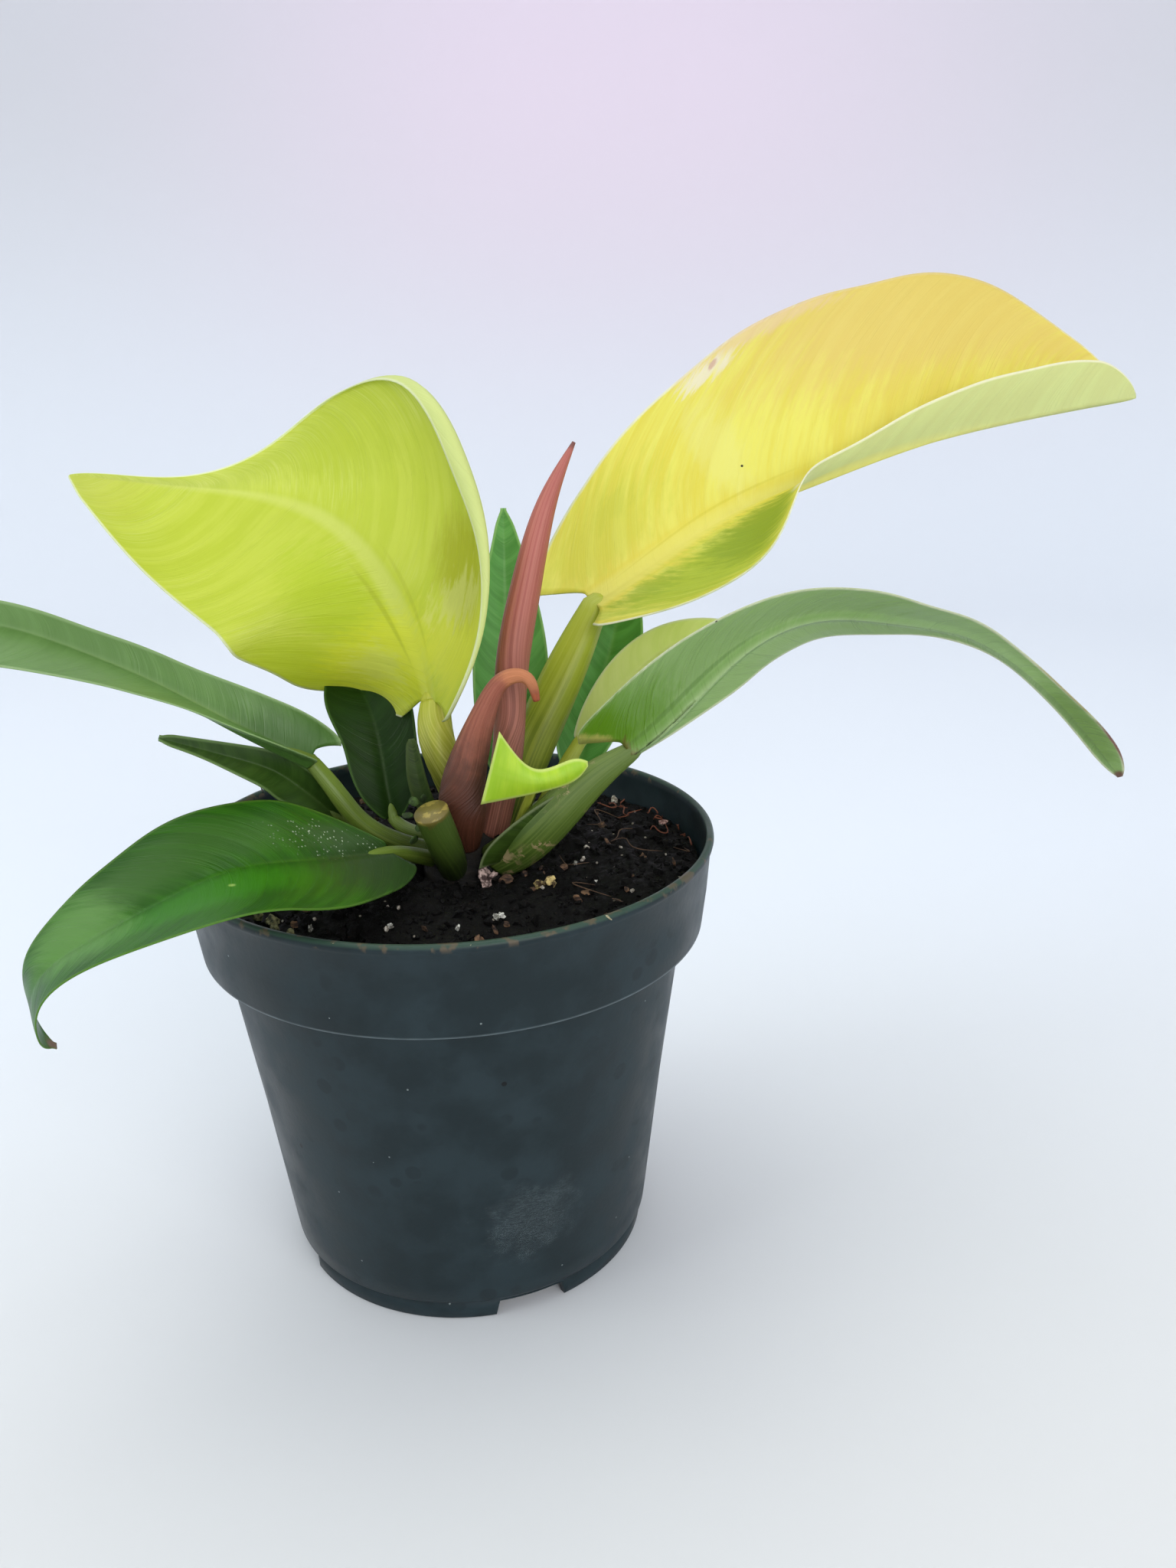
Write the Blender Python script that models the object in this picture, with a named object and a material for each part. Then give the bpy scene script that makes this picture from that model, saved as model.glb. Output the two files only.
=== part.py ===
"""Potted moonlight philodendron: one plant, its soil and its nursery pot.

Built in millimetres and scaled to metres when each mesh is made. +Z is up,
the pot stands on z = 0 with its axis on the Z axis, and the side toward -Y
is the side seen in the photograph.
"""
import bpy
import bmesh
import numpy as np
from math import radians

for old in list(bpy.data.objects):
    bpy.data.objects.remove(old, do_unlink=True)

MM = 0.001


# Materials

def plain_material(name, colour, roughness):
    """A plain surface: sRGB-like colour already in linear values, no metal."""
    material = bpy.data.materials.new(name)
    material.use_nodes = True
    shader = material.node_tree.nodes["Principled BSDF"]
    shader.inputs["Base Color"].default_value = (*colour, 1.0)
    shader.inputs["Roughness"].default_value = roughness
    shader.inputs["Metallic"].default_value = 0.0
    return material


POT_PLASTIC = plain_material("pot_plastic", (0.020, 0.032, 0.036), 0.45)
SOIL = plain_material("soil", (0.012, 0.010, 0.009), 0.95)
LIME_LEAF = plain_material("lime_leaf", (0.50, 0.62, 0.07), 0.45)
GOLDEN_LEAF = plain_material("golden_leaf", (0.76, 0.66, 0.12), 0.45)
GREEN_LEAF = plain_material("green_leaf", (0.06, 0.20, 0.035), 0.45)
DARK_LEAF = plain_material("dark_leaf", (0.025, 0.085, 0.022), 0.5)
PALE_STEM = plain_material("pale_stem", (0.32, 0.38, 0.06), 0.45)
GREEN_STEM = plain_material("green_stem", (0.07, 0.13, 0.03), 0.5)
RED_SHEATH = plain_material("red_sheath", (0.30, 0.08, 0.06), 0.5)
BROWN_STEM = plain_material("brown_stem", (0.10, 0.07, 0.03), 0.8)


# Lines and meshes

def smooth_line(values, at):
    """Natural cubic spline through evenly spaced values, read at shares 0 to 1."""
    y = np.asarray(values, float)
    count = len(y)
    flat = y.reshape(count, -1)
    if count == 2:
        out = flat[0] + (flat[1] - flat[0]) * np.asarray(at, float)[:, None]
        return out.reshape(len(at), *y.shape[1:])
    matrix = np.zeros((count, count))
    matrix[0, 0] = 1
    matrix[-1, -1] = 1
    inner = np.arange(1, count - 1)
    matrix[inner, inner - 1] = 1
    matrix[inner, inner] = 4
    matrix[inner, inner + 1] = 1
    bend = np.zeros_like(flat)
    bend[1:-1] = 6 * (flat[:-2] - 2 * flat[1:-1] + flat[2:])
    second = np.linalg.solve(matrix, bend)
    place = np.clip(np.asarray(at, float), 0, 1) * (count - 1)
    k = np.minimum(place.astype(int), count - 2)
    t = (place - k)[:, None]
    s = 1 - t
    out = flat[k] * s + flat[k + 1] * t
    out = out + ((s ** 3 - s) * second[k] + (t ** 3 - t) * second[k + 1]) / 6
    return out.reshape(len(at), *y.shape[1:])


def along(points, at):
    """Points at shares of the length of the smooth line through the given ones."""
    fine = smooth_line(points, np.linspace(0, 1, 400))
    steps = np.linalg.norm(np.diff(fine, axis=0), axis=1)
    run = np.concatenate([[0], np.cumsum(steps)])
    places = np.asarray(at) * run[-1]
    return np.column_stack([np.interp(places, run, fine[:, k]) for k in range(3)])


def unit(vectors):
    """Vectors of length one."""
    return vectors / np.linalg.norm(vectors, axis=-1, keepdims=True)


def directions(points):
    """Unit direction of travel at each point of a line."""
    return unit(np.gradient(points, axis=0))


def new_object(name, vertices, faces, material):
    """A smooth shaded mesh object from millimetre vertices."""
    mesh = bpy.data.meshes.new(name)
    mesh.from_pydata([tuple(v) for v in np.asarray(vertices) * MM], [], faces)
    mesh.validate()
    bm = bmesh.new()
    bm.from_mesh(mesh)
    bmesh.ops.recalc_face_normals(bm, faces=bm.faces)
    bm.to_mesh(mesh)
    bm.free()
    mesh.materials.append(material)
    mesh.polygons.foreach_set("use_smooth", [True] * len(mesh.polygons))
    obj = bpy.data.objects.new(name, mesh)
    bpy.context.scene.collection.objects.link(obj)
    return obj


def closed_rings(name, rings, material):
    """Closed body from rings of equal counts, with a fan on each end ring."""
    rings = np.asarray(rings)
    rows, count = rings.shape[:2]
    vertices = list(rings.reshape(-1, 3))
    faces = []
    for i in range(rows - 1):
        for j in range(count):
            a = i * count + j
            b = i * count + (j + 1) % count
            faces.append((a, b, b + count, a + count))
    for row in (0, rows - 1):
        vertices.append(rings[row].mean(axis=0))
        centre = len(vertices) - 1
        for j in range(count):
            a = row * count + j
            b = row * count + (j + 1) % count
            faces.append((a, b, centre))
    return new_object(name, vertices, faces, material)


# Pot

RIM_RADIUS = 54.0
POT_HEIGHT = 91.3
COLLAR_BOTTOM = 72.0
COLLAR_LOW_RADIUS = 51.7
BODY_TOP_RADIUS = 47.4
BODY_LOW_RADIUS = 38.9
FOOT_TOP = 4.4
FOOT_RADIUS = 37.8
WALL = 1.5
FLOOR_TOP = 5.6
PAD_RADIUS = 6.0
POT_SEGMENTS = 64

pot_profile = [
    (PAD_RADIUS, 0.0),
    (PAD_RADIUS, 3.8),
    (FOOT_RADIUS - 2.0, 3.8),
    (FOOT_RADIUS - 2.0, 0.0),
    (FOOT_RADIUS, 0.0),
    (FOOT_RADIUS + 0.3, FOOT_TOP - 0.7),
    (FOOT_RADIUS + 0.3, FOOT_TOP),
    (BODY_LOW_RADIUS, FOOT_TOP + 0.5),
    (BODY_TOP_RADIUS, COLLAR_BOTTOM - 0.3),
    (COLLAR_LOW_RADIUS - 0.5, COLLAR_BOTTOM),
    (COLLAR_LOW_RADIUS, COLLAR_BOTTOM + 0.7),
    (RIM_RADIUS - 0.3, POT_HEIGHT - 1.5),
    (RIM_RADIUS, POT_HEIGHT - 0.9),
    (RIM_RADIUS - 0.3, POT_HEIGHT),
    (RIM_RADIUS - WALL, POT_HEIGHT),
    (RIM_RADIUS - WALL - 0.3, POT_HEIGHT - 1.0),
    (COLLAR_LOW_RADIUS - WALL, COLLAR_BOTTOM + 1.5),
    (BODY_TOP_RADIUS - WALL, COLLAR_BOTTOM - 1.5),
    (BODY_LOW_RADIUS - WALL, FLOOR_TOP + 1.0),
    (BODY_LOW_RADIUS - WALL - 1.0, FLOOR_TOP),
]


def turned(profile, segments, centre=(0.0, 0.0)):
    """Rings of a turned body, one ring for each (radius, height) pair."""
    angle = np.linspace(0, 2 * np.pi, segments, endpoint=False)
    rings = []
    for radius, height in profile:
        x = centre[0] + radius * np.cos(angle)
        y = centre[1] + radius * np.sin(angle)
        rings.append(np.column_stack([x, y, np.full(segments, height)]))
    return rings


pot = closed_rings("pot", turned(pot_profile, POT_SEGMENTS), POT_PLASTIC)

# The foot ring is cut by four drain notches, one of them in front.
NOTCH_ANGLES = [-74 + 90 * k for k in range(4)]
NOTCH_WIDTH = 14.0
NOTCH_HEIGHT = 3.6
NOTCH_DEPTH = 6.0
for index, notch_angle in enumerate(NOTCH_ANGLES):
    bpy.ops.mesh.primitive_cube_add(size=1.0)
    cutter = bpy.context.object
    cutter.name = "notch_cutter_%d" % index
    cutter.scale = (NOTCH_DEPTH * MM, NOTCH_WIDTH * MM, 2 * NOTCH_HEIGHT * MM)
    turn = radians(notch_angle)
    middle = FOOT_RADIUS - 1.0
    cutter.location = (middle * np.cos(turn) * MM, middle * np.sin(turn) * MM, 0.0)
    cutter.rotation_euler = (0.0, 0.0, turn)
    cutter.hide_render = True
    cutter.display_type = "WIRE"
    cut = pot.modifiers.new("drain_notch_%d" % index, "BOOLEAN")
    cut.operation = "DIFFERENCE"
    cut.solver = "EXACT"
    cut.object = cutter


# Crown, the short stem the leaves rise from

CROWN_X = 4.5
CROWN_Y = -1.0
CROWN_Z = 84.0
CROWN_RADIUS = 10.5
CROWN_RISE = 9.5
CROWN_DEEP = 62.0
CROWN_GAP = 0.45
DOME_STEPS = 6

crown_profile = [(CROWN_RADIUS * 0.7, CROWN_DEEP), (CROWN_RADIUS, CROWN_DEEP + 8.0)]
for step in range(DOME_STEPS):
    lift = radians(90.0 * step / DOME_STEPS)
    ring_radius = CROWN_RADIUS * np.cos(lift)
    crown_profile.append((ring_radius, CROWN_Z + CROWN_RISE * np.sin(lift)))
crown_rings = turned(crown_profile, 20, (CROWN_X, CROWN_Y))
crown = closed_rings("crown", crown_rings, BROWN_STEM)


def on_crown(azimuth, elevation):
    """Point just off the crown's dome, at two angles in degrees."""
    turn = radians(azimuth)
    lift = radians(elevation)
    x = CROWN_X + (CROWN_RADIUS + CROWN_GAP) * np.cos(lift) * np.cos(turn)
    y = CROWN_Y + (CROWN_RADIUS + CROWN_GAP) * np.cos(lift) * np.sin(turn)
    z = CROWN_Z + (CROWN_RISE + CROWN_GAP) * np.sin(lift)
    return (x, y, z)


# Soil, filling the pot, with a plain hole for the crown

SOIL_GAP = 0.5
SOIL_EDGE_HEIGHT = 83.5
SOIL_MOUND = 2.2
HOLE_RADIUS = CROWN_RADIUS + 0.9
HOLE_DEPTH = CROWN_DEEP - 0.6
SOIL_SEGMENTS = 40
SOIL_RINGS = 6

soil_angle = np.linspace(0, 2 * np.pi, SOIL_SEGMENTS, endpoint=False)


def soil_ring(radius, height, share, relief):
    """One ring of the soil; share 0 is centred on the crown, 1 on the pot."""
    x = CROWN_X * (1 - share) + radius * np.cos(soil_angle)
    y = CROWN_Y * (1 - share) + radius * np.sin(soil_angle)
    lumps = np.sin(x * 0.45 + 1.0) * np.cos(y * 0.38) + 0.6 * np.sin(x * 0.9 - y * 0.7)
    return np.column_stack([x, y, height + relief * lumps])


soil_rings = [
    soil_ring(BODY_LOW_RADIUS - WALL - 1.0 - SOIL_GAP, FLOOR_TOP + SOIL_GAP, 1, 0),
    soil_ring(BODY_LOW_RADIUS - WALL - SOIL_GAP, FLOOR_TOP + 1.5, 1, 0),
    soil_ring(BODY_TOP_RADIUS - WALL - SOIL_GAP, COLLAR_BOTTOM - 1.3, 1, 0),
    soil_ring(COLLAR_LOW_RADIUS - WALL - SOIL_GAP, COLLAR_BOTTOM + 1.9, 1, 0),
]
soil_wall_radius = COLLAR_LOW_RADIUS - WALL + 1.2 - SOIL_GAP
for ring in range(SOIL_RINGS, -1, -1):
    share = ring / SOIL_RINGS
    radius = HOLE_RADIUS + (soil_wall_radius - HOLE_RADIUS) * share
    mound = SOIL_MOUND * np.sin(np.pi * share ** 0.7)
    relief = 0.45 * np.sin(np.pi * share)
    soil_rings.append(soil_ring(radius, SOIL_EDGE_HEIGHT + mound, share, relief))
soil_rings.append(soil_ring(HOLE_RADIUS, HOLE_DEPTH, 0, 0))
soil = closed_rings("soil", soil_rings, SOIL)


# Stalks

JOINT_GAP = 0.35


def base_of(leaf):
    """A blade's first midrib point, and which way it runs and faces there."""
    start = along(leaf["midrib"], [0.0, 0.01])
    ahead = unit(start[1] - start[0])
    facing = np.asarray(leaf["faces"][0], float)
    above = unit(facing - ahead * (facing @ ahead))
    return start[0], ahead, above


def stalk(name, points, widths, material, leaf=None, sides=8, rows=9, flat=1.0, wide_way=(0, 0, 1)):
    """Solid stalk along points; widths are radii, flat thins it across wide_way.

    Its first ring lies flat against the crown's dome, where every stalk
    starts. With a leaf, it ends squarely just behind that leaf's blade.
    """
    at = np.linspace(0, 1, rows)
    points = [tuple(point) for point in points]
    if leaf:
        start, leaf_ahead, leaf_above = base_of(leaf)
        end = start - leaf_ahead * JOINT_GAP - leaf_above * widths[-1] * 0.6
        points.append(tuple(end))
    line = along(points, at)
    radii = smooth_line(widths, at)
    ahead = directions(line)
    ahead[0] = unit(line[0] - np.array([CROWN_X, CROWN_Y, CROWN_Z]))
    if leaf:
        ahead[-1] = leaf_ahead
    wide = np.asarray(wide_way, float)[None, :] - ahead * (ahead @ np.asarray(wide_way))[:, None]
    wide = unit(wide)
    thin = np.cross(ahead, wide)
    angle = np.linspace(0, 2 * np.pi, sides, endpoint=False)
    ring = wide[:, None, :] * np.cos(angle)[None, :, None]
    ring = ring + thin[:, None, :] * np.sin(angle)[None, :, None] * flat
    rings = line[:, None, :] + ring * radii[:, None, None]
    return closed_rings(name, rings, material)


# Blades

BLADE_THICKNESS = 0.8
LOBE_START = 0.35
BASE_SHARE = 0.6
BASE_ROUND = 0.12
TIP_ROUND = 0.07
LEAST_WIDTH = 0.6
ROLL_SHARPNESS = 0.45


def blade_surface(leaf, rows, columns, roll_columns):
    """Grid of points over a blade, from its left margin to its right one.

    Along the midrib each row has a half width, a lift angle at the midrib and
    a curl, the further angle gained out to the margin. A rolled margin adds a
    strip that turns on toward the upper face. Lobes are swept back at the base.
    """
    at = np.linspace(0, 1, rows + 1)
    at = 0.5 * (at + (1 - np.cos(np.pi * at)) / 2)
    middle = along(leaf["midrib"], at)
    fine = np.linspace(0, 1, 201)
    fine_ahead = directions(along(leaf["midrib"], fine))
    ahead = np.column_stack([np.interp(at, fine, fine_ahead[:, k]) for k in range(3)])
    ahead = unit(ahead)
    facing = smooth_line(leaf["faces"], at)
    right = unit(np.cross(ahead, facing))
    above = np.cross(right, ahead)
    from_base = 1 - np.clip(at / BASE_ROUND, 0, 1)
    base = BASE_SHARE + (1 - BASE_SHARE) * np.sqrt(1 - from_base ** 2)
    to_tip = np.clip((at - 1 + TIP_ROUND) / TIP_ROUND, 0, 1)
    tip = np.sqrt(1 - to_tip ** 2)
    outward = np.asarray(columns, float)
    halves = {}
    for side, sign in (("left", -1.0), ("right", 1.0)):
        width = np.maximum(smooth_line(leaf["wide_" + side], at) * base * tip, LEAST_WIDTH)
        lift = np.radians(smooth_line(leaf["lift_" + side], at))
        curl = np.radians(smooth_line(leaf["curl_" + side], at))
        fine_out = np.linspace(0, 1, 41)
        mids = (fine_out[1:] + fine_out[:-1]) / 2
        slope = lift[:, None] + curl[:, None] * mids[None, :] ** 2
        zero = np.zeros((len(at), 1))
        run_x = np.hstack([zero, np.cumsum(np.cos(slope), axis=1)]) / len(mids)
        run_z = np.hstack([zero, np.cumsum(np.sin(slope), axis=1)]) / len(mids)
        x = np.array([np.interp(outward, fine_out, row) for row in run_x]) * width[:, None]
        z = np.array([np.interp(outward, fine_out, row) for row in run_z]) * width[:, None]
        share = outward
        if "roll_" + side in leaf:
            strip = np.clip(smooth_line(leaf["strip_" + side], at), 0.3, None) * tip
            turn = np.radians(smooth_line(leaf["roll_" + side], at))
            steps = (np.arange(roll_columns) + 0.5) / roll_columns
            slope = (lift + curl)[:, None] + turn[:, None] * steps[None, :] ** ROLL_SHARPNESS
            part = strip[:, None] / roll_columns
            x = np.hstack([x, x[:, -1:] + np.cumsum(np.cos(slope), axis=1) * part])
            z = np.hstack([z, z[:, -1:] + np.cumsum(np.sin(slope), axis=1) * part])
            share = np.concatenate([outward, np.ones(roll_columns)])
        swept = np.clip((share - LOBE_START) / (1 - LOBE_START), 0, 1) ** 1.3
        back = leaf.get("lobe_" + side, 0.0) * ((1 - at) ** 7)[:, None] * swept[None, :]
        points = middle[:, None, :] + sign * right[:, None, :] * x[..., None]
        halves[side] = points + above[:, None, :] * z[..., None] - ahead[:, None, :] * back[..., None]
    return np.concatenate([halves["left"][:, :0:-1], halves["right"]], axis=1), above, at


def blade(name, leaf, material, rows=18, columns=(0, 0.07, 0.3, 0.55, 0.8, 1), ridge=1.6):
    """Solid blade: its surface, thickened on the under side and ribbed there."""
    grid, above, at = blade_surface(leaf, rows, columns, 3)
    count = grid.shape[1]
    middle = len(columns) - 1
    if "roll_left" in leaf:
        middle += 3
    faces = []
    for i in range(grid.shape[0] - 1):
        for j in range(count - 1):
            a = i * count + j
            faces.append((a, a + 1, a + count + 1))
            faces.append((a, a + count + 1, a + count))
    mesh = bpy.data.meshes.new(name)
    mesh.from_pydata([tuple(v) for v in grid.reshape(-1, 3) * MM], [], faces)
    first = mesh.polygons[0].normal
    if first.dot(tuple(above[0])) < 0:
        mesh.flip_normals()
    mesh.materials.append(material)
    mesh.polygons.foreach_set("use_smooth", [True] * len(mesh.polygons))
    obj = bpy.data.objects.new(name, mesh)
    bpy.context.scene.collection.objects.link(obj)
    group = obj.vertex_groups.new(name="thickness")
    deepest = BLADE_THICKNESS + ridge
    for i in range(grid.shape[0]):
        for j in range(count):
            depth = BLADE_THICKNESS
            if j == middle:
                depth += ridge * (1 - at[i]) ** 1.2
            group.add([i * count + j], depth / deepest, "REPLACE")
    thick = obj.modifiers.new("thickness", "SOLIDIFY")
    thick.thickness = deepest * MM
    thick.offset = -1.0
    thick.use_even_offset = False
    thick.vertex_group = "thickness"
    thick.thickness_vertex_group = 0.0
    return obj


SMALL = dict(rows=12, columns=(0, 0.12, 0.55, 1), ridge=0.8)

# Tall lime leaf on the left, cupped, its right margin rolled inward

tall_lime = dict(
    midrib=[(-3, 8, 116.5), (-6, 11, 131), (-16, 19, 148), (-32, 30, 156), (-52, 38, 158), (-76, 43, 160)],
    faces=[(-0.7, -0.5, 0.4), (-0.4, -0.8, 0.4), (-0.5, -0.7, 0.5), (-0.1, -0.6, 0.8)],
    wide_left=[15, 25, 32.5, 34.5, 34.5, 33, 31, 27.5, 22, 14, 4],
    wide_right=[16, 26, 33, 35.5, 34, 28, 22, 16.5, 12, 8, 4],
    lift_left=[-18, -5, 5, 5, 30],
    lift_right=[10, 10, -15, -50, -30],
    curl_left=[30, 30, 20, 10],
    curl_right=[40, 40, 20, 0],
    lobe_left=3.5,
    lobe_right=3,
    strip_right=[1.6, 1.4, 3.2, 4.4, 3.2, 1.4, 0.5, 0.4, 0.4, 0.4, 0.4],
    roll_right=[150, 170, 120, 30, 0],
)
blade("blade_tall_lime", tall_lime, LIME_LEAF, rows=24, ridge=2.0)
stalk(
    "petiole_tall_lime",
    [on_crown(108, 66), (1, 3, 100), (-1, 4, 106), (-2, 6, 111.5)],
    [3.6, 3.5, 3.4, 3.1, 2.5],
    PALE_STEM,
    leaf=tall_lime,
)

# Golden leaf on the right, its far lower half folded up over the midrib

golden = dict(
    midrib=[(32, 11.5, 135), (48, 15, 144), (65, 19, 152), (92, 23, 160), (120, 27, 166), (156, 31, 171)],
    faces=[(-0.3, -0.6, 0.7), (0, -0.6, 0.7), (-0.1, -0.6, 0.6), (0, -0.5, 0.8)],
    wide_left=[21, 29, 36, 36, 30, 4],
    wide_right=[14, 21, 25, 23, 11, 9, 11, 11.5, 10, 8, 6],
    lift_left=[-10, 10, 25, 25, 25],
    lift_right=[20, 30, 85, 105, 125],
    curl_left=[10, 10, 10, 10],
    curl_right=[20, 20, 20, 20],
    lobe_left=11,
    lobe_right=4,
)
blade("blade_golden", golden, GOLDEN_LEAF, rows=24, ridge=2.0)
stalk(
    "petiole_golden",
    [on_crown(33, 40), (15, 4.5, 100), (19, 5.5, 109), (24, 7.5, 119)],
    [4.2, 4.4, 4.5, 4.2, 2.9],
    PALE_STEM,
    leaf=golden,
)

# Arching green leaf on the right, seen from its under side

arching = dict(
    midrib=[
        (35, -14, 111), (44, -14, 118), (58, -12, 130), (74, -10, 135),
        (90, -9, 133), (107, -9, 128), (125, -9, 114), (140, -9, 97),
    ],
    faces=[(-0.1, 0.9, 0.2), (0, 0.65, 0.7), (0.2, 0.6, 0.75), (0.5, 0.7, 0.5)],
    wide_left=[2, 4.5, 8, 9, 8, 5.5, 3, 2, 2, 2, 2],
    wide_right=[20, 19, 17, 14, 11.5, 9.5, 6, 3.6, 3.4, 4, 3],
    lift_left=[-10, -10, -10, -10, 0],
    lift_right=[-24, -10, -5, -5, 0],
    curl_left=[0, 0, 0],
    curl_right=[0, 0, 0],
    lobe_right=4,
)
blade("blade_arching", arching, GREEN_LEAF)
stalk(
    "petiole_arching",
    [on_crown(-60, 22), (16, -13.5, 94), (26, -14.5, 104)],
    [4.3, 4.6, 3.9, 2.1],
    GREEN_STEM,
    leaf=arching,
    flat=0.65,
    wide_way=(-0.7, 0.0, 0.7),
)

# Yellow-green leaf behind the arching one

behind = dict(
    midrib=[(27, 2, 108.5), (35, 4, 117), (43, 5.5, 124), (51, 7, 127.5), (60, 8, 128), (69, 9, 125)],
    faces=[(-0.5, -0.4, 0.75), (-0.3, -0.4, 0.85), (0, -0.4, 0.9)],
    wide_left=[2, 5, 6, 5, 3, 1],
    wide_right=[4, 8, 9, 7, 5, 1],
    lift_left=[20, 20, 20],
    lift_right=[20, 20, 20],
    curl_left=[0, 0, 0],
    curl_right=[0, 0, 0],
)
blade("blade_behind_arching", behind, LIME_LEAF, **SMALL)
stalk(
    "petiole_behind_arching",
    [on_crown(-12, 18), (20, 0, 96), (24.5, 1.3, 103.5)],
    [2.2, 2.0, 1.8, 1.4],
    PALE_STEM,
    leaf=behind,
)

# Green leaf reaching far to the left

far_left = dict(
    midrib=[
        (-26, -6, 110.5), (-39, -11, 120), (-51, -17, 130), (-62, -23, 138),
        (-72, -29, 144), (-84, -36, 147), (-98, -42, 146),
    ],
    faces=[(0.3, -0.5, 0.8), (0.3, -0.4, 0.9), (0.3, -0.7, 0.6), (0, -0.7, 0.7)],
    wide_left=[5, 13, 14, 14, 11, 3],
    wide_right=[8, 7, 5, 4, 4, 2],
    lift_left=[40, 25, 30, 0],
    lift_right=[40, 30, 30, 15],
    curl_left=[20, 10, 10, 10],
    curl_right=[60, 20, 10, 10],
    lobe_right=4,
)
blade("blade_far_left", far_left, GREEN_LEAF)
stalk(
    "petiole_far_left",
    [on_crown(178, 20), (-12, -4, 91.5), (-18, -6, 97), (-22, -6.5, 103.5)],
    [2.1, 2.1, 2.0, 1.9, 1.5],
    GREEN_STEM,
    leaf=far_left,
)

# Low green leaf over the front left of the rim, with a hooked tip

low_left = dict(
    midrib=[
        (-12, -14, 93.5), (-25, -27, 98), (-38, -37, 101), (-49, -47, 100),
        (-60, -55, 97), (-67, -59, 92), (-68, -59, 84), (-66, -57, 80),
    ],
    faces=[(0.1, -0.4, 0.9), (0.1, -0.2, 1), (-0.2, -0.2, 1), (-0.9, -0.3, 0.1)],
    wide_left=[9, 15, 20, 20, 10, 1],
    wide_right=[3, 13, 16, 14, 9, 1],
    lift_left=[0, 0, 10, 10, -10],
    lift_right=[15, 20, 10, 10, -10],
    curl_left=[0, 0, 0],
    curl_right=[0, 0, 0],
    lobe_left=2,
)
blade("blade_low_left", low_left, GREEN_LEAF)
stalk(
    "petiole_low_left",
    [on_crown(-155, 20), (-8.8, -9.8, 90.6)],
    [1.7, 1.6, 1.3],
    GREEN_STEM,
    leaf=low_left,
    rows=6,
)

# Narrow folded leaf under the far left one

folded = dict(
    midrib=[(-22, 0, 95), (-27, -2, 101), (-32, -4, 106.5), (-37, -6, 110), (-44, -8.5, 113.5), (-53, -12, 118)],
    faces=[(-0.3, -0.7, 0.6), (-0.3, -0.7, 0.6)],
    wide_left=[2, 4, 5, 4, 2, 1],
    wide_right=[2, 4, 4, 3, 2, 1],
    lift_left=[20, 20],
    lift_right=[30, 30],
    curl_left=[0, 0],
    curl_right=[0, 0],
)
blade("blade_folded_left", folded, DARK_LEAF, **SMALL)
stalk(
    "petiole_folded_left",
    [on_crown(155, 16), (-14, 2.4, 90)],
    [1.4, 1.3, 1.1],
    GREEN_STEM,
    leaf=folded,
    rows=6,
)

# Dark leaf on the left, rising behind the tall lime one

dark_left = dict(
    midrib=[(-12, 10.5, 91), (-13, 13, 98), (-14, 17.2, 106), (-16, 21.6, 113), (-19, 27.4, 118), (-22, 33, 122)],
    faces=[(0.1, -0.9, 0.3), (0.1, -0.9, 0.4)],
    wide_left=[3, 7, 8, 9, 7, 1],
    wide_right=[3, 7, 8, 9, 7, 1],
    lift_left=[10, 10],
    lift_right=[10, 10],
    curl_left=[10, 10],
    curl_right=[10, 10],
)
blade("blade_dark_left", dark_left, DARK_LEAF, **SMALL)
stalk(
    "petiole_dark_left",
    [on_crown(128, 18), (-8.5, 9, 88.2)],
    [1.7, 1.6, 1.3],
    GREEN_STEM,
    leaf=dark_left,
    rows=6,
)

# Upright leaf at the back

back_upright = dict(
    midrib=[(13.5, 16.5, 93.5), (14, 22, 107), (14.5, 26.5, 121), (15, 31, 136), (15.5, 33, 152)],
    faces=[(0.1, -0.9, 0.3), (0.1, -0.9, 0.3)],
    wide_left=[3, 7, 8, 7, 4, 1],
    wide_right=[3, 7, 9, 8, 5, 1],
    lift_left=[10, 10],
    lift_right=[10, 10],
    curl_left=[10, 10],
    curl_right=[10, 10],
)
blade("blade_back_upright", back_upright, GREEN_LEAF, **SMALL)
stalk(
    "petiole_back_upright",
    [on_crown(85, 22), (9.5, 12.5, 90)],
    [2.0, 1.8, 1.3],
    GREEN_STEM,
    leaf=back_upright,
    rows=6,
)

# Leaf at the back right

back_right = dict(
    midrib=[(27, 13, 96.5), (31, 18, 107), (36, 23, 119), (40, 28, 131), (43, 33, 143)],
    faces=[(-0.1, -0.8, 0.5), (-0.1, -0.8, 0.5)],
    wide_left=[3, 7, 8, 7, 4, 1],
    wide_right=[3, 7, 8, 7, 4, 1],
    lift_left=[15, 15],
    lift_right=[15, 15],
    curl_left=[10, 10],
    curl_right=[10, 10],
)
blade("blade_back_right", back_right, GREEN_LEAF, **SMALL)
stalk(
    "petiole_back_right",
    [on_crown(60, 12), (18.5, 11, 90)],
    [1.9, 1.8, 1.3],
    GREEN_STEM,
    leaf=back_right,
    rows=6,
)

# Small young leaf in front of the crown, a swallow-tailed sheet


def sheet(name, low, high, material, bulge=0.0, rows=14, columns=5):
    """Thin sheet between two smooth lines, its middle pushed out toward -Y by bulge."""
    at = np.linspace(0, 1, rows)
    share = np.linspace(0, 1, columns)
    first = along(low, at)[:, None]
    grid = first + (along(high, at)[:, None] - first) * share[None, :, None]
    facing = unit(np.cross(np.gradient(grid, axis=1), np.gradient(grid, axis=0)))
    if facing[..., 1].mean() > 0:
        facing = -facing
    swell = bulge * np.sin(np.pi * share)[None, :] * np.sin(np.pi * at)[:, None] ** 0.5
    grid = grid + facing * swell[..., None]
    under = grid - facing * BLADE_THICKNESS
    return closed_rings(name, np.concatenate([grid, under[:, ::-1]], axis=1), material)


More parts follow.
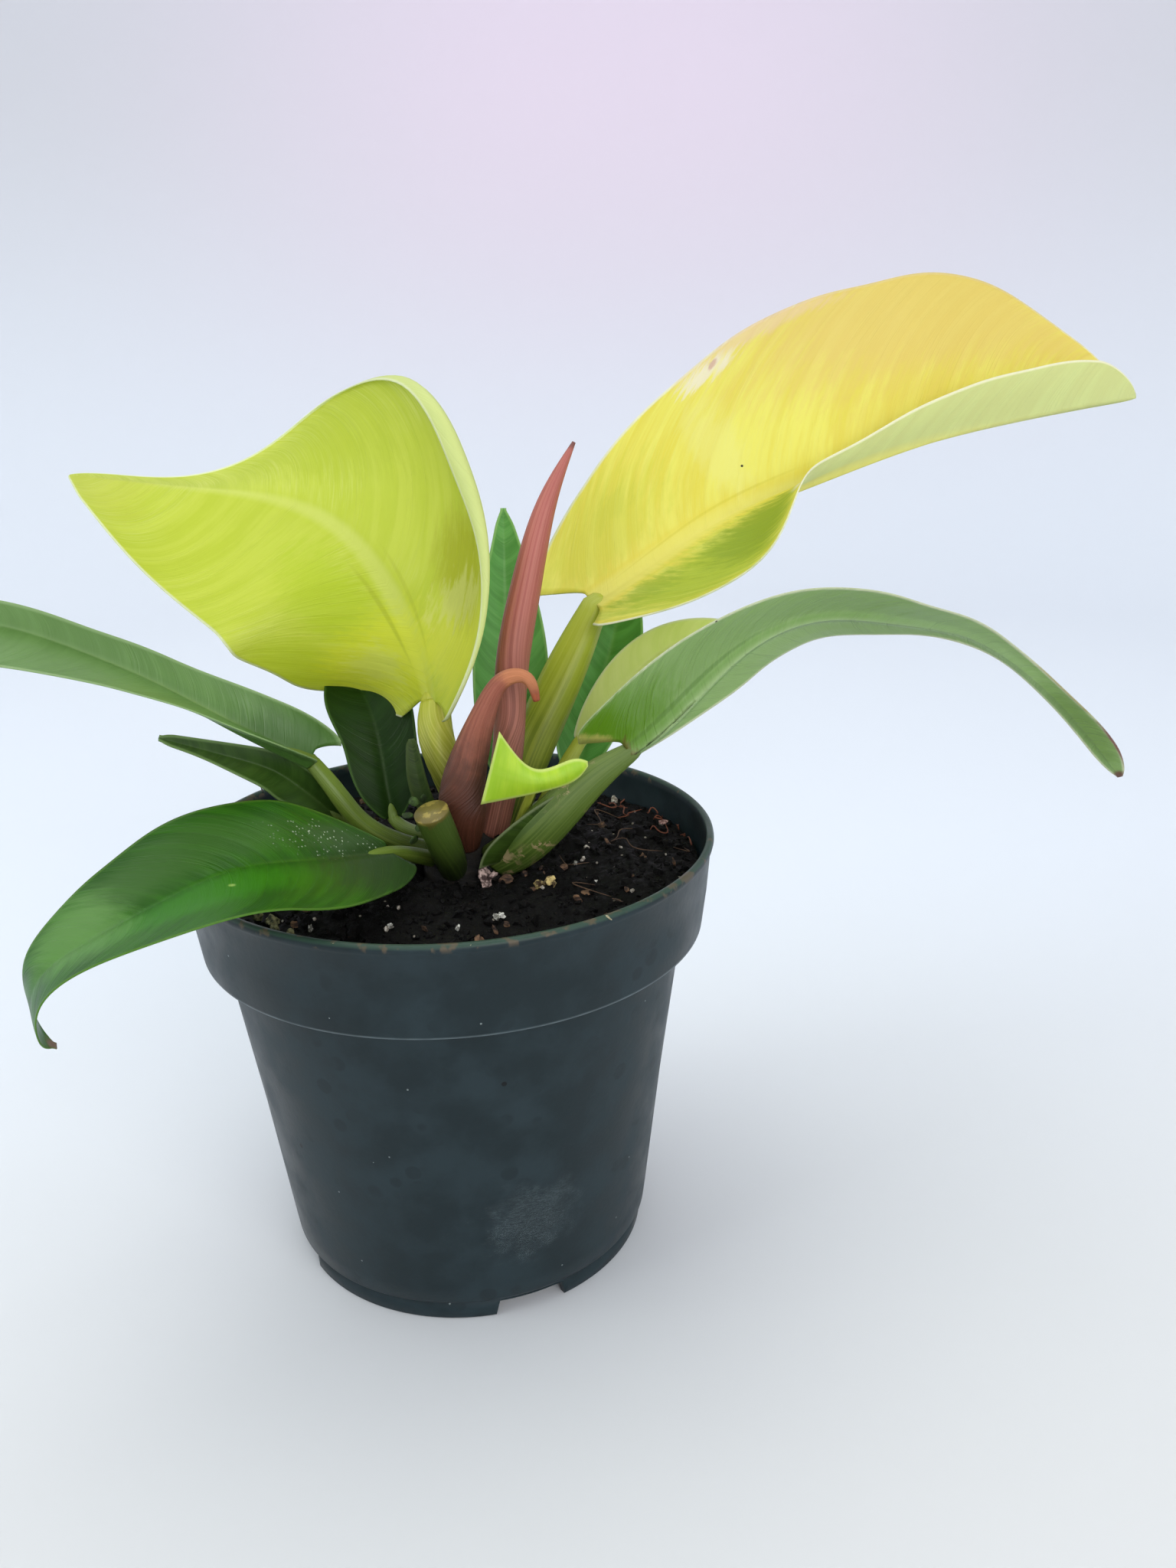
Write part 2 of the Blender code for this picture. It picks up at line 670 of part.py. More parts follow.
YOUNG_LOW = [(5.9, -19.2, 103.4), (12.5, -18.9, 104.2), (19.4, -18.7, 105.3), (24.2, -18.6, 106.9), (26.7, -18.4, 109.5)]
YOUNG_HIGH = [(10.1, -19, 117.6), (12.3, -18.8, 113.9), (16.9, -18.6, 109.6), (23.1, -18.6, 111), (26.6, -18.4, 110.5)]
sheet("blade_young", YOUNG_LOW, YOUNG_HIGH, LIME_LEAF, bulge=1.2)
stalk(
    "petiole_young",
    [on_crown(-32, 30), (14.5, -10, 98), (16, -17.1, 105.4)],
    [1.0, 0.9, 0.8],
    PALE_STEM,
    sides=6,
    rows=6,
)

# New leaf still rolled into a spear, and the sheath it grew from

stalk(
    "new_leaf_spear",
    [on_crown(-31, 60), (11, -4, 102), (13, -4, 113), (14.5, -3, 126), (18, -2, 141), (22.3, -1, 156), (28, 0, 168)],
    [3.0, 3.0, 3.0, 2.9, 2.7, 2.0, 0.35],
    RED_SHEATH,
    sides=10,
    rows=14,
)
stalk(
    "new_leaf_sheath",
    [on_crown(-100, 48), (2.6, -10.5, 102), (5, -11, 112), (8, -11.5, 120), (11.5, -12, 125.5), (16, -13, 126), (17.7, -13, 121.5)],
    [2.3, 4.5, 4.3, 3.3, 2.2, 1.5, 0.7],
    RED_SHEATH,
    rows=16,
)

# Torn remnant of an old sheath beside the tall petiole

torn = dict(
    midrib=[(-2.0, 0.6, 92.1), (-5, 0.2, 98), (-6.2, 0.5, 105), (-6.8, 1, 111)],
    faces=[(-0.2, -0.9, 0.3), (-0.2, -0.9, 0.3)],
    wide_left=[1.5, 2, 2, 1],
    wide_right=[1.5, 2, 1.6, 1],
    lift_left=[10, 10],
    lift_right=[10, 10],
    curl_left=[20, 20],
    curl_right=[20, 20],
)
blade("torn_sheath", torn, GREEN_STEM, rows=8, columns=(0, 0.5, 1), ridge=0.2)

# Stub of a cut stem at the front, its flat corky end up

stalk(
    "cut_stub",
    [on_crown(-119, 17), (-2.2, -14.2, 92.5), (-5, -17.5, 100.5)],
    [2.9, 3.2, 3.3],
    BROWN_STEM,
    sides=12,
    rows=6,
)
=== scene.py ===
"""Looks for the potted moonlight philodendron.

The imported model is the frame. Sizes here are in millimetres in that frame and
become metres when a mesh is made; a pattern that reads a piece's own place
reads metres. +Z is up, the pot stands on z = 0 with its axis on the Z axis,
and the side toward -Y is the side seen in the photograph.
"""
from math import cos, pi, radians, sin

import bpy
import bmesh
import numpy as np
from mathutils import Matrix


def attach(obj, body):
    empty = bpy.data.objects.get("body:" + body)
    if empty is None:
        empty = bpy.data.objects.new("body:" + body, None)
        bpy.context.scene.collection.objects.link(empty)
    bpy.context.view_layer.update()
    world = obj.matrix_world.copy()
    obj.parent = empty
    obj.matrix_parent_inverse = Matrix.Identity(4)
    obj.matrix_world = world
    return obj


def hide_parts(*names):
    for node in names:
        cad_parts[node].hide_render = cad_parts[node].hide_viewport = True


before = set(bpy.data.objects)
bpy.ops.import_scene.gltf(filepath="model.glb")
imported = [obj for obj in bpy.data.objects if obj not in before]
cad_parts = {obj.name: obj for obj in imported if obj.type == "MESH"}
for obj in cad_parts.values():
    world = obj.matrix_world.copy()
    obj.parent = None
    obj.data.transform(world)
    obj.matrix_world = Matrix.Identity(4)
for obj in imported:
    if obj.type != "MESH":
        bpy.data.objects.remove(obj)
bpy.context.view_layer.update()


# Tabletop and backdrop
# A pale paper bowl that the pot stands in, like the inside of a light tent.
# It is part of the picture and not of the plant.

MM = 0.001
SWEEP_FLAT = 700.0
SWEEP_BEND = 500.0
SWEEP_HEIGHT = 1500.0
SWEEP_STEPS = 24
SWEEP_SEGMENTS = 96
UPPER_SHADE_HEIGHT = 0.45
ROSY_MIDDLE = 0.2
ROSY_REACH = 0.6


def paint(red, green, blue):
    """Linear colour with alpha from three screen values between 0 and 255."""
    value = np.array([red, green, blue]) / 255
    linear = np.where(value < 0.04045, value / 12.92, ((value + 0.055) / 1.055) ** 2.4)
    return (*linear.tolist(), 1.0)


def put(tree, kind, inputs=None, **settings):
    """Adds a node. Each input is a value to set or a socket to link."""
    made = tree.nodes.new(kind)
    for name, value in settings.items():
        setattr(made, name, value)
    for name, value in (inputs or {}).items():
        if isinstance(value, bpy.types.NodeSocket):
            tree.links.new(value, made.inputs[name])
        else:
            made.inputs[name].default_value = value
    return made


def mixed(tree, share, first, second):
    """Colour that goes from first to second as share goes from 0 to 1.

    Inputs 0, 6 and 7 are the Mix node's factor and its two colours.
    """
    return put(tree, "ShaderNodeMix", {0: share, 6: first, 7: second}, data_type="RGBA").outputs[2]


def stepped(tree, value, low, high, low_out=0.0, high_out=1.0):
    """Smooth step: low_out below low, high_out above high."""
    inputs = {"Value": value, "From Min": low, "From Max": high, "To Min": low_out, "To Max": high_out}
    return put(tree, "ShaderNodeMapRange", inputs, interpolation_type="SMOOTHSTEP").outputs[0]


def calc(tree, operation, first, second=0.0):
    """Output of one Math node."""
    return put(tree, "ShaderNodeMath", {0: first, 1: second}, operation=operation).outputs[0]


def times(tree, first, second):
    """Product of two values."""
    return calc(tree, "MULTIPLY", first, second)


def noise(tree, vector, scale, detail=3.0, rough=0.55, distortion=0.0):
    """Value of a noise texture, mostly between 0.3 and 0.7."""
    inputs = {
        "Vector": vector, "Scale": scale, "Detail": detail, "Roughness": rough, "Distortion": distortion,
    }
    return put(tree, "ShaderNodeTexNoise", inputs).outputs[0]


def stretched(tree, vector, x, y, z=1.0):
    """A vector scaled by its own amount along each axis."""
    return put(tree, "ShaderNodeMapping", {"Vector": vector, "Scale": (x, y, z)}).outputs[0]


def own_place(tree):
    """A piece's own coordinates, in metres."""
    return put(tree, "ShaderNodeTexCoord").outputs["Object"]


def new_material(name, roughness):
    """Material, its node tree and its Principled shader."""
    material = bpy.data.materials.new(name)
    material.use_nodes = True
    tree = material.node_tree
    shader = tree.nodes["Principled BSDF"]
    shader.inputs["Roughness"].default_value = roughness
    return material, tree, shader


def ring_body(name, rings, material, uv=None, marks=None, caps="fan"):
    """Body from rings of points, rows x columns x 3, in millimetres.

    Each ring is joined to the next and closes on itself. caps is "fan" for a
    point in the middle of each end ring, "strip" for a flat blade whose ring
    goes out on one face and back on the other, and None for open ends. uv has
    one column more than the rings, so a pattern meets itself all the way
    round. marks maps attribute names to a vector for each point.
    """
    rows, columns = rings.shape[:2]
    row, column = np.meshgrid(np.arange(rows - 1), np.arange(columns), indexing="ij")
    following = (column + 1) % columns
    corners = [(row, column), (row, following), (row + 1, following), (row + 1, column)]
    faces = np.stack([r * columns + c for r, c in corners], axis=-1).reshape(-1, 4).tolist()
    points = rings.reshape(-1, 3)
    if uv is None:
        uv = np.zeros((rows, columns + 1, 2))
    wide = [(row, column), (row, column + 1), (row + 1, column + 1), (row + 1, column)]
    corner_uv = [np.stack([uv[r, c] for r, c in wide], axis=2).reshape(-1, 2)]
    marks = {key: value.reshape(-1, 3) for key, value in (marks or {}).items()}
    for end in (0, rows - 1):
        first = end * columns
        if caps == "fan":
            points = np.vstack([points, rings[end].mean(axis=0)])
            for key in marks:
                marks[key] = np.vstack([marks[key], marks[key][first:first + columns].mean(axis=0)])
            step = np.arange(columns)
            fan = [first + step, first + (step + 1) % columns, step * 0 + len(points) - 1]
            faces += np.stack(fan, axis=-1).tolist()
            middle = uv[end, :-1].mean(axis=0)[None].repeat(columns, axis=0)
            corner_uv.append(np.stack([uv[end, :-1], uv[end, 1:], middle], axis=1).reshape(-1, 2))
        if caps == "strip":
            step = np.arange(columns // 2 - 1)
            order = [step, step + 1, columns - 2 - step, columns - 1 - step]
            faces += np.stack([first + part for part in order], axis=-1).tolist()
            corner_uv.append(np.stack([uv[end, part] for part in order], axis=1).reshape(-1, 2))
    mesh = bpy.data.meshes.new(name)
    mesh.from_pydata((points * MM).tolist(), [], faces)
    layer = mesh.uv_layers.new(name="pattern")
    layer.data.foreach_set("uv", np.concatenate(corner_uv).ravel())
    for key, value in marks.items():
        mesh.attributes.new(key, "FLOAT_VECTOR", "POINT").data.foreach_set("vector", value.ravel())
    bm = bmesh.new()
    bm.from_mesh(mesh)
    bmesh.ops.recalc_face_normals(bm, faces=bm.faces)
    bm.to_mesh(mesh)
    bm.free()
    mesh.polygons.foreach_set("use_smooth", [True] * len(mesh.polygons))
    mesh.materials.append(material)
    made = bpy.data.objects.new(name, mesh)
    bpy.context.scene.collection.objects.link(made)
    return made


def turned(profile, segments, centre=(0.0, 0.0)):
    """Turned rings: each (radius, height) of the profile carried round the axis."""
    angle = np.linspace(0, 2 * pi, segments, endpoint=False)
    profile = np.asarray(profile, float)
    x = centre[0] + profile[:, :1] * np.cos(angle)
    y = centre[1] + profile[:, :1] * np.sin(angle)
    return np.stack([x, y, profile[:, 1:].repeat(segments, axis=1)], axis=-1)


sweep_profile = [(1.0, 0.0), (SWEEP_FLAT / 2, 0.0)]
for step in range(SWEEP_STEPS + 1):
    turn = pi / 2 * step / SWEEP_STEPS
    sweep_profile.append((SWEEP_FLAT + SWEEP_BEND * sin(turn), SWEEP_BEND * (1 - cos(turn))))
sweep_profile.append((SWEEP_FLAT + SWEEP_BEND, SWEEP_HEIGHT))
backdrop_paper, tree, shader = new_material("backdrop_paper", 0.9)
# The paper's colour holds painted light and shade: darker toward the front of the floor and greyer up the
# wall, with a painted rosy light at the upper right.
parts = put(tree, "ShaderNodeSeparateXYZ", {0: own_place(tree)}).outputs
upper = stepped(tree, parts[2], 0.0, UPPER_SHADE_HEIGHT)
aside = calc(tree, "ABSOLUTE", calc(tree, "SUBTRACT", parts[0], ROSY_MIDDLE))
rosy_light = times(tree, stepped(tree, aside, ROSY_REACH, 0.05), upper)
paper = mixed(tree, stepped(tree, parts[1], -0.15, 0.2), paint(226, 228, 228), paint(236, 243, 251))
paper = mixed(tree, upper, paper, paint(220, 221, 226))
paper = mixed(tree, rosy_light, paper, paint(241, 227, 241))
tree.links.new(paper, shader.inputs["Base Color"])
sweep = ring_body("backdrop", turned(sweep_profile, SWEEP_SEGMENTS), backdrop_paper, caps=None)
for polygon in sweep.data.polygons:
    if polygon.normal.z < -0.01:
        sweep.data.flip_normals()
        break


# Light and camera
# Three broad soft lamps, above, at the left and in front, over an even pale
# surround, and the camera where the photograph was taken from, with no depth
# of field.

CAMERA_PLACE = (0.0, -252.3, 188.4)
CAMERA_PAN = 6.48
CAMERA_PITCH = 19.31
CAMERA_ROLL = -1.41
CAMERA_LENS = 29.92
SURROUND_COLOUR = (0.93, 0.98, 1.0, 1.0)
SURROUND_STRENGTH = 0.62


def soft_light(name, place, aim, size, power, colour):
    """Square area light at place, facing the point aim."""
    data = bpy.data.lights.new(name, "AREA")
    data.shape = "SQUARE"
    data.size = size * MM
    data.energy = power
    data.color = colour
    lamp = bpy.data.objects.new(name, data)
    way = np.array(aim) - np.array(place)
    axis = way / np.linalg.norm(way)
    lamp.location = [v * MM for v in place]
    lamp.rotation_euler = (np.arccos(-axis[2]), 0.0, np.arctan2(axis[1], axis[0]) - pi / 2)
    bpy.context.scene.collection.objects.link(lamp)


soft_light("overhead_light", (-150, 250, 1050), (0, 0, 100), size=1000, power=3.8, colour=(1.0, 1.0, 0.97))
soft_light("left_light", (-850, -250, 650), (0, 0, 120), size=600, power=2.3, colour=(0.95, 1.0, 1.0))
soft_light("front_light", (350, -1000, 450), (0, 0, 100), size=800, power=7.6, colour=(1.0, 0.99, 0.98))

world = bpy.data.worlds.new("studio")
world.use_nodes = True
world.node_tree.nodes["Background"].inputs[0].default_value = SURROUND_COLOUR
world.node_tree.nodes["Background"].inputs[1].default_value = SURROUND_STRENGTH
bpy.context.scene.world = world
bpy.context.scene.view_settings.view_transform = "Standard"

pan = radians(CAMERA_PAN)
pitch = radians(CAMERA_PITCH)
roll = radians(CAMERA_ROLL)
ahead = np.array([sin(pan) * cos(pitch), cos(pan) * cos(pitch), -sin(pitch)])
side = np.array([cos(pan), -sin(pan), 0.0])
up = np.cross(side, ahead)
camera_data = bpy.data.cameras.new("photo_camera")
camera_data.lens = CAMERA_LENS
camera = bpy.data.objects.new("photo_camera", camera_data)
turn = np.eye(4)
turn[:3, 0] = side * cos(roll) + up * sin(roll)
turn[:3, 1] = up * cos(roll) - side * sin(roll)
turn[:3, 2] = -ahead
turn[:3, 3] = np.array(CAMERA_PLACE) * MM
camera.matrix_world = turn.T
bpy.context.scene.collection.objects.link(camera)
bpy.context.scene.camera = camera


# Nursery pot
# A thin dark green-grey pot of moulded plastic, with a collar, a rolled rim,
# and a foot ring cut by four drain notches. It shows water marks and scratches.

RIM_RADIUS = 54.0
POT_HEIGHT = 91.3
COLLAR_BOTTOM = 72.0
COLLAR_LOW_RADIUS = 51.7
BODY_TOP_RADIUS = 47.4
BODY_LOW_RADIUS = 38.9
FOOT_TOP = 4.4
FOOT_RADIUS = 37.8
WALL = 1.5
FLOOR_TOP = 5.6
POT_SEGMENTS = 300
NOTCH_ANGLES = [-74 + 90 * k for k in range(4)]
NOTCH_WIDTH = 14.0
NOTCH_HEIGHT = 3.6

# Radius and height of each point: the floor's under side and the foot ring,
# the tapering body, the collar, the rolled rim, then the inner wall and floor.
pot_profile = [
    (0.5, 0.2), (5.4, 0.0), (6.0, 0.4), (6.0, 3.8), (FOOT_RADIUS - 2.2, 3.8),
    (FOOT_RADIUS - 2.0, 3.6), (FOOT_RADIUS - 1.9, 0.3), (FOOT_RADIUS - 1.6, 0.0),
    (FOOT_RADIUS - 0.4, 0.0), (FOOT_RADIUS, 0.4), (FOOT_RADIUS + 0.2, FOOT_TOP - 0.7),
    (FOOT_RADIUS - 0.1, FOOT_TOP - 0.4), (FOOT_RADIUS - 0.1, FOOT_TOP + 0.1),
    (BODY_LOW_RADIUS - 0.3, FOOT_TOP + 0.3), (BODY_LOW_RADIUS, FOOT_TOP + 0.8),
    (BODY_LOW_RADIUS + 0.5, 9.0), (BODY_LOW_RADIUS + 4.0, 38.0), (BODY_TOP_RADIUS - 0.2, 69.0),
    (BODY_TOP_RADIUS, COLLAR_BOTTOM - 0.9), (BODY_TOP_RADIUS + 0.7, COLLAR_BOTTOM - 0.3),
    (COLLAR_LOW_RADIUS - 0.7, COLLAR_BOTTOM), (COLLAR_LOW_RADIUS - 0.1, COLLAR_BOTTOM + 0.3),
    (COLLAR_LOW_RADIUS, COLLAR_BOTTOM + 0.9), (COLLAR_LOW_RADIUS + 0.9, 80.0),
    (RIM_RADIUS - 0.6, POT_HEIGHT - 2.2), (RIM_RADIUS - 0.15, POT_HEIGHT - 1.6),
    (RIM_RADIUS, POT_HEIGHT - 1.0), (RIM_RADIUS - 0.1, POT_HEIGHT - 0.4),
    (RIM_RADIUS - 0.5, POT_HEIGHT), (RIM_RADIUS - WALL + 0.3, POT_HEIGHT),
    (RIM_RADIUS - WALL, POT_HEIGHT - 0.4), (RIM_RADIUS - WALL - 0.3, POT_HEIGHT - 2.0),
    (COLLAR_LOW_RADIUS - WALL, COLLAR_BOTTOM + 1.5), (BODY_TOP_RADIUS - WALL, COLLAR_BOTTOM - 1.5),
    (BODY_LOW_RADIUS - WALL, FLOOR_TOP + 1.0), (BODY_LOW_RADIUS - WALL - 1.0, FLOOR_TOP),
    (1.0, FLOOR_TOP),
]
FOOT_ROWS = slice(5, 11)

pot_rings = turned(pot_profile, POT_SEGMENTS)
round_share = np.arange(POT_SEGMENTS) / POT_SEGMENTS
for notch_angle in NOTCH_ANGLES:
    # The foot's lower edge is lifted wherever it lies within half a notch of the middle.
    away = (round_share * 360 - notch_angle + 180) % 360 - 180
    cut = np.abs(np.radians(away)) * FOOT_RADIUS < NOTCH_WIDTH / 2
    foot_heights = pot_rings[FOOT_ROWS, :, 2]
    pot_rings[FOOT_ROWS, :, 2] = np.where(cut, np.maximum(foot_heights, NOTCH_HEIGHT), foot_heights)
pot_uv = np.zeros((len(pot_profile), POT_SEGMENTS + 1, 2))
pot_uv[..., 0] = np.linspace(0, 1, POT_SEGMENTS + 1)
pot_uv[..., 1] = np.array([height for radius, height in pot_profile])[:, None] / 100


def dress(piece, slot, *nodes):
    """The piece rides on the one body and stands for those nodes; slot is not used."""
    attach(piece, "root")
    if nodes:
        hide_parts(*nodes)


def bumped(tree, shader, height, strength, depth):
    """Bump depth millimetres deep into the shader's Normal; gives the bump's output."""
    inputs = {"Height": height, "Strength": strength, "Distance": depth * MM}
    normal = put(tree, "ShaderNodeBump", inputs).outputs[0]
    tree.links.new(normal, shader.inputs["Normal"])
    return normal


def new_group(name, inputs, outputs):
    """Empty node group with named sockets; inputs maps a name to its first value."""
    group = bpy.data.node_groups.new(name, "ShaderNodeTree")
    for key, value in inputs.items():
        kind = "NodeSocketColor" if isinstance(value, tuple) else "NodeSocketFloat"
        group.interface.new_socket(key, in_out="INPUT", socket_type=kind).default_value = value
    for key, kind in outputs.items():
        group.interface.new_socket(key, in_out="OUTPUT", socket_type=kind)
    return group, group.nodes.new("NodeGroupInput").outputs, group.nodes.new("NodeGroupOutput").inputs


# Specks: small dots on a random few of the cells of a Voronoi pattern.
specks_group, given, wanted = new_group(
    "specks", {"Scale": 300.0, "Share": 0.1, "Size": 0.2}, {"Mask": "NodeSocketFloat"}
)
place = own_place(specks_group)
cells = put(specks_group, "ShaderNodeTexVoronoi", {"Vector": place, "Scale": given["Scale"]})
chosen = put(specks_group, "ShaderNodeSeparateColor", {0: cells.outputs["Color"]}).outputs[0]
picked = calc(specks_group, "LESS_THAN", chosen, given["Share"])
near = calc(specks_group, "LESS_THAN", cells.outputs["Distance"], given["Size"])
specks_group.links.new(times(specks_group, picked, near), wanted["Mask"])


def specks(tree, scale, share, size):
    """Mask of the specks group with its own values."""
    made = put(tree, "ShaderNodeGroup", node_tree=specks_group)
    for name, value in (("Scale", scale), ("Share", share), ("Size", size)):
        made.inputs[name].default_value = value
    return made.outputs["Mask"]


def patch(tree, vector, middle, spread, ragged, grain):
    """Soft-edged oval mask in a vector's x and y, with its edge broken up by noise."""
    parts = put(tree, "ShaderNodeSeparateXYZ", {0: vector})
    x = calc(tree, "DIVIDE", calc(tree, "SUBTRACT", parts.outputs[0], middle[0]), spread[0])
    y = calc(tree, "DIVIDE", calc(tree, "SUBTRACT", parts.outputs[1], middle[1]), spread[1])
    far = calc(tree, "SQRT", calc(tree, "ADD", times(tree, x, x), times(tree, y, y)))
    broken = times(tree, calc(tree, "SUBTRACT", grain, 0.5), ragged)
    return stepped(tree, calc(tree, "ADD", far, broken), 1.0, 0.35)


SCRATCHED_PLACE = (0.795, 0.24)
SCRATCHED_SPREAD = (0.045, 0.11)
pot_plastic, tree, shader = new_material("pot_plastic_finish", 0.42)
place = own_place(tree)
around = put(tree, "ShaderNodeUVMap", uv_map="pattern").outputs[0]
height = put(tree, "ShaderNodeSeparateXYZ", {0: place}).outputs[2]
mottle = noise(tree, place, 90, 4)
stain_edge = noise(tree, place, 260, 3)
colour = mixed(tree, stepped(tree, mottle, 0.35, 0.68), paint(23, 36, 40), paint(34, 48, 53))
# Dried drops of water.
drops = put(tree, "ShaderNodeTexVoronoi", {"Vector": place, "Scale": 170.0}).outputs["Distance"]
drop_mask = times(tree, stepped(tree, drops, 0.34, 0.26), stepped(tree, mottle, 0.5, 0.62))
colour = mixed(tree, times(tree, drop_mask, 0.45), colour, paint(18, 28, 31))
# A painted highlight on the top of the rim, then patchy soil marks on the rim's upper edge.
rim_highlight_mask = stepped(tree, height, (POT_HEIGHT - 0.8) * MM, (POT_HEIGHT - 0.2) * MM)
colour = mixed(tree, times(tree, rim_highlight_mask, 0.7), colour, paint(60, 84, 70))
soiled = stepped(tree, height, (POT_HEIGHT - 1.8) * MM, (POT_HEIGHT - 0.4) * MM)
soiled = times(tree, soiled, stepped(tree, stain_edge, 0.54, 0.62))
colour = mixed(tree, times(tree, soiled, 0.75), colour, paint(96, 84, 66))
# The worn line along the collar's lower edge.
line_low = stepped(tree, height, (COLLAR_BOTTOM - 0.3) * MM, COLLAR_BOTTOM * MM)
line_high = stepped(tree, height, (COLLAR_BOTTOM + 0.8) * MM, (COLLAR_BOTTOM + 0.3) * MM)
line_mask = times(tree, line_low, line_high)
colour = mixed(tree, times(tree, line_mask, stain_edge), colour, paint(120, 135, 140))
# Fine scratches in one rubbed patch, then pale and dark specks.
hairs = noise(tree, stretched(tree, around, 40, 260), 3.0, 4, 0.7, 1.5)
thin_hairs = stepped(tree, calc(tree, "ABSOLUTE", calc(tree, "SUBTRACT", hairs, 0.5)), 0.012, 0.002)
rubbed = patch(tree, around, SCRATCHED_PLACE, SCRATCHED_SPREAD, 1.4, stain_edge)
scratches = times(tree, times(tree, thin_hairs, rubbed), 0.6)
colour = mixed(tree, scratches, colour, paint(165, 180, 185))
colour = mixed(tree, specks(tree, 650, 0.02, 0.13), colour, paint(120, 130, 130))
colour = mixed(tree, specks(tree, 300, 0.03, 0.16), colour, paint(12, 16, 18))
tree.links.new(colour, shader.inputs["Base Color"])
tree.links.new(stepped(tree, mottle, 0.3, 0.7, 0.34, 0.5), shader.inputs["Roughness"])
shader.inputs["Specular IOR Level"].default_value = 0.22
bumped(tree, shader, noise(tree, place, 900, 2), 0.06, 0.4)
dress(ring_body("nursery_pot", pot_rings, pot_plastic, pot_uv), "pot_plastic", "pot")


# Potting mix
# Damp black peat filling the pot, with crumbs, white perlite, bark chips and
# a few root threads. It is loose, and lies against the pot and the plant.

SOIL_GAP = 0.5
SOIL_EDGE_HEIGHT = 83.5
SOIL_MOUND = 2.2
SOIL_MOUND_LEAN = 0.7
SOIL_EDGE_FADE = 4
SOIL_LUMPS = [(2.2, 7.0, 3), (1.3, 3.0, 4), (0.7, 1.3, 5)]
CROWN_X = 4.5
CROWN_Y = -1.0
CROWN_Z = 84.0
CROWN_RADIUS = 10.5
CROWN_RISE = 9.5
HOLE_RADIUS = CROWN_RADIUS + 0.9
HOLE_DEPTH = 61.4
SOIL_WALL_RADIUS = COLLAR_LOW_RADIUS - WALL + 1.2 - SOIL_GAP
SOIL_SEGMENTS = 220
SOIL_RINGS = 70
CRUMB_COUNT = 2600
PERLITE_COUNT = 46
BARK_COUNT = 60
THREAD_COUNT = 16
SIZE_SPREAD = 3.0
LATTICE = 64
LATTICE_SHIFT = 500
LINE_STEPS = 400
THREAD_END = 0.35
THREAD_SIDE = (0.3, 0.2, 0.93)


def value_noise(x, y, size, seed):
    """Random heights on a square lattice of that size, joined by smooth steps."""
    lattice = np.random.default_rng(seed).random((LATTICE, LATTICE)) - 0.5
    u = np.asarray(x) / size + LATTICE_SHIFT
    v = np.asarray(y) / size + LATTICE_SHIFT
    i = np.floor(u).astype(int)
    j = np.floor(v).astype(int)
    s = (u - i) ** 2 * (3 - 2 * (u - i))
    t = (v - j) ** 2 * (3 - 2 * (v - j))
    i, j = i % (LATTICE - 1), j % (LATTICE - 1)
    low = lattice[i, j] * (1 - s) + lattice[i + 1, j] * s
    high = lattice[i, j + 1] * (1 - s) + lattice[i + 1, j + 1] * s
    return low * (1 - t) + high * t


def soil_height(x, y):
    """Height of the soil's top: a low ring-shaped mound with lumps of three sizes.

    Each of SOIL_LUMPS is a height, a size across and a seed.
    """
    out = np.hypot(x - CROWN_X, y - CROWN_Y)
    reach = np.clip((out - HOLE_RADIUS) / (SOIL_WALL_RADIUS - HOLE_RADIUS), 0, 1)
    mound = SOIL_MOUND * np.sin(pi * reach ** SOIL_MOUND_LEAN)
    rough = sum(height * value_noise(x, y, size, seed) for height, size, seed in SOIL_LUMPS)
    return SOIL_EDGE_HEIGHT + mound + rough * np.clip(SOIL_EDGE_FADE * (1 - reach), 0, 1)


soil_material, tree, shader = new_material("damp_peat", 0.9)
place = own_place(tree)
crumbled = noise(tree, place, 700, 5, 0.7)
fibres = noise(tree, stretched(tree, place, 1, 3, 1), 900, 4, 0.6, 1.0)
colour = mixed(tree, stepped(tree, crumbled, 0.4, 0.7), paint(4, 4, 4), paint(15, 13, 12))
colour = mixed(tree, stepped(tree, fibres, 0.66, 0.72), colour, paint(52, 38, 29))
colour = mixed(tree, specks(tree, 900, 0.02, 0.24), colour, paint(140, 134, 122))
tree.links.new(colour, shader.inputs["Base Color"])
tree.links.new(stepped(tree, crumbled, 0.35, 0.65, 0.55, 0.95), shader.inputs["Roughness"])
shader.inputs["Specular IOR Level"].default_value = 0.15
bumped(tree, shader, crumbled, 0.7, 0.6)

# The plug: four rings up the pot's wall, the rough top from the wall in to the
# hole round the crown, and the bottom of that hole.
soil_rings = list(turned([
    (BODY_LOW_RADIUS - WALL - 1.5, FLOOR_TOP + SOIL_GAP),
    (BODY_LOW_RADIUS - WALL - SOIL_GAP, FLOOR_TOP + 1.5),
    (BODY_TOP_RADIUS - WALL - SOIL_GAP, COLLAR_BOTTOM - 1.3),
    (COLLAR_LOW_RADIUS - WALL - SOIL_GAP, COLLAR_BOTTOM + 1.9),
], SOIL_SEGMENTS))
for reach in np.linspace(1, 0, SOIL_RINGS):
    radius = HOLE_RADIUS + (SOIL_WALL_RADIUS - HOLE_RADIUS) * reach
    ring = turned([(radius, 0.0)], SOIL_SEGMENTS, (CROWN_X * (1 - reach), CROWN_Y * (1 - reach)))[0]
    ring[:, 2] = soil_height(ring[:, 0], ring[:, 1])
    soil_rings.append(ring)
soil_rings += list(turned([(HOLE_RADIUS, HOLE_DEPTH)], SOIL_SEGMENTS, (CROWN_X, CROWN_Y)))
dress(ring_body("potting_mix", np.array(soil_rings), soil_material), "potting_soil", "soil")


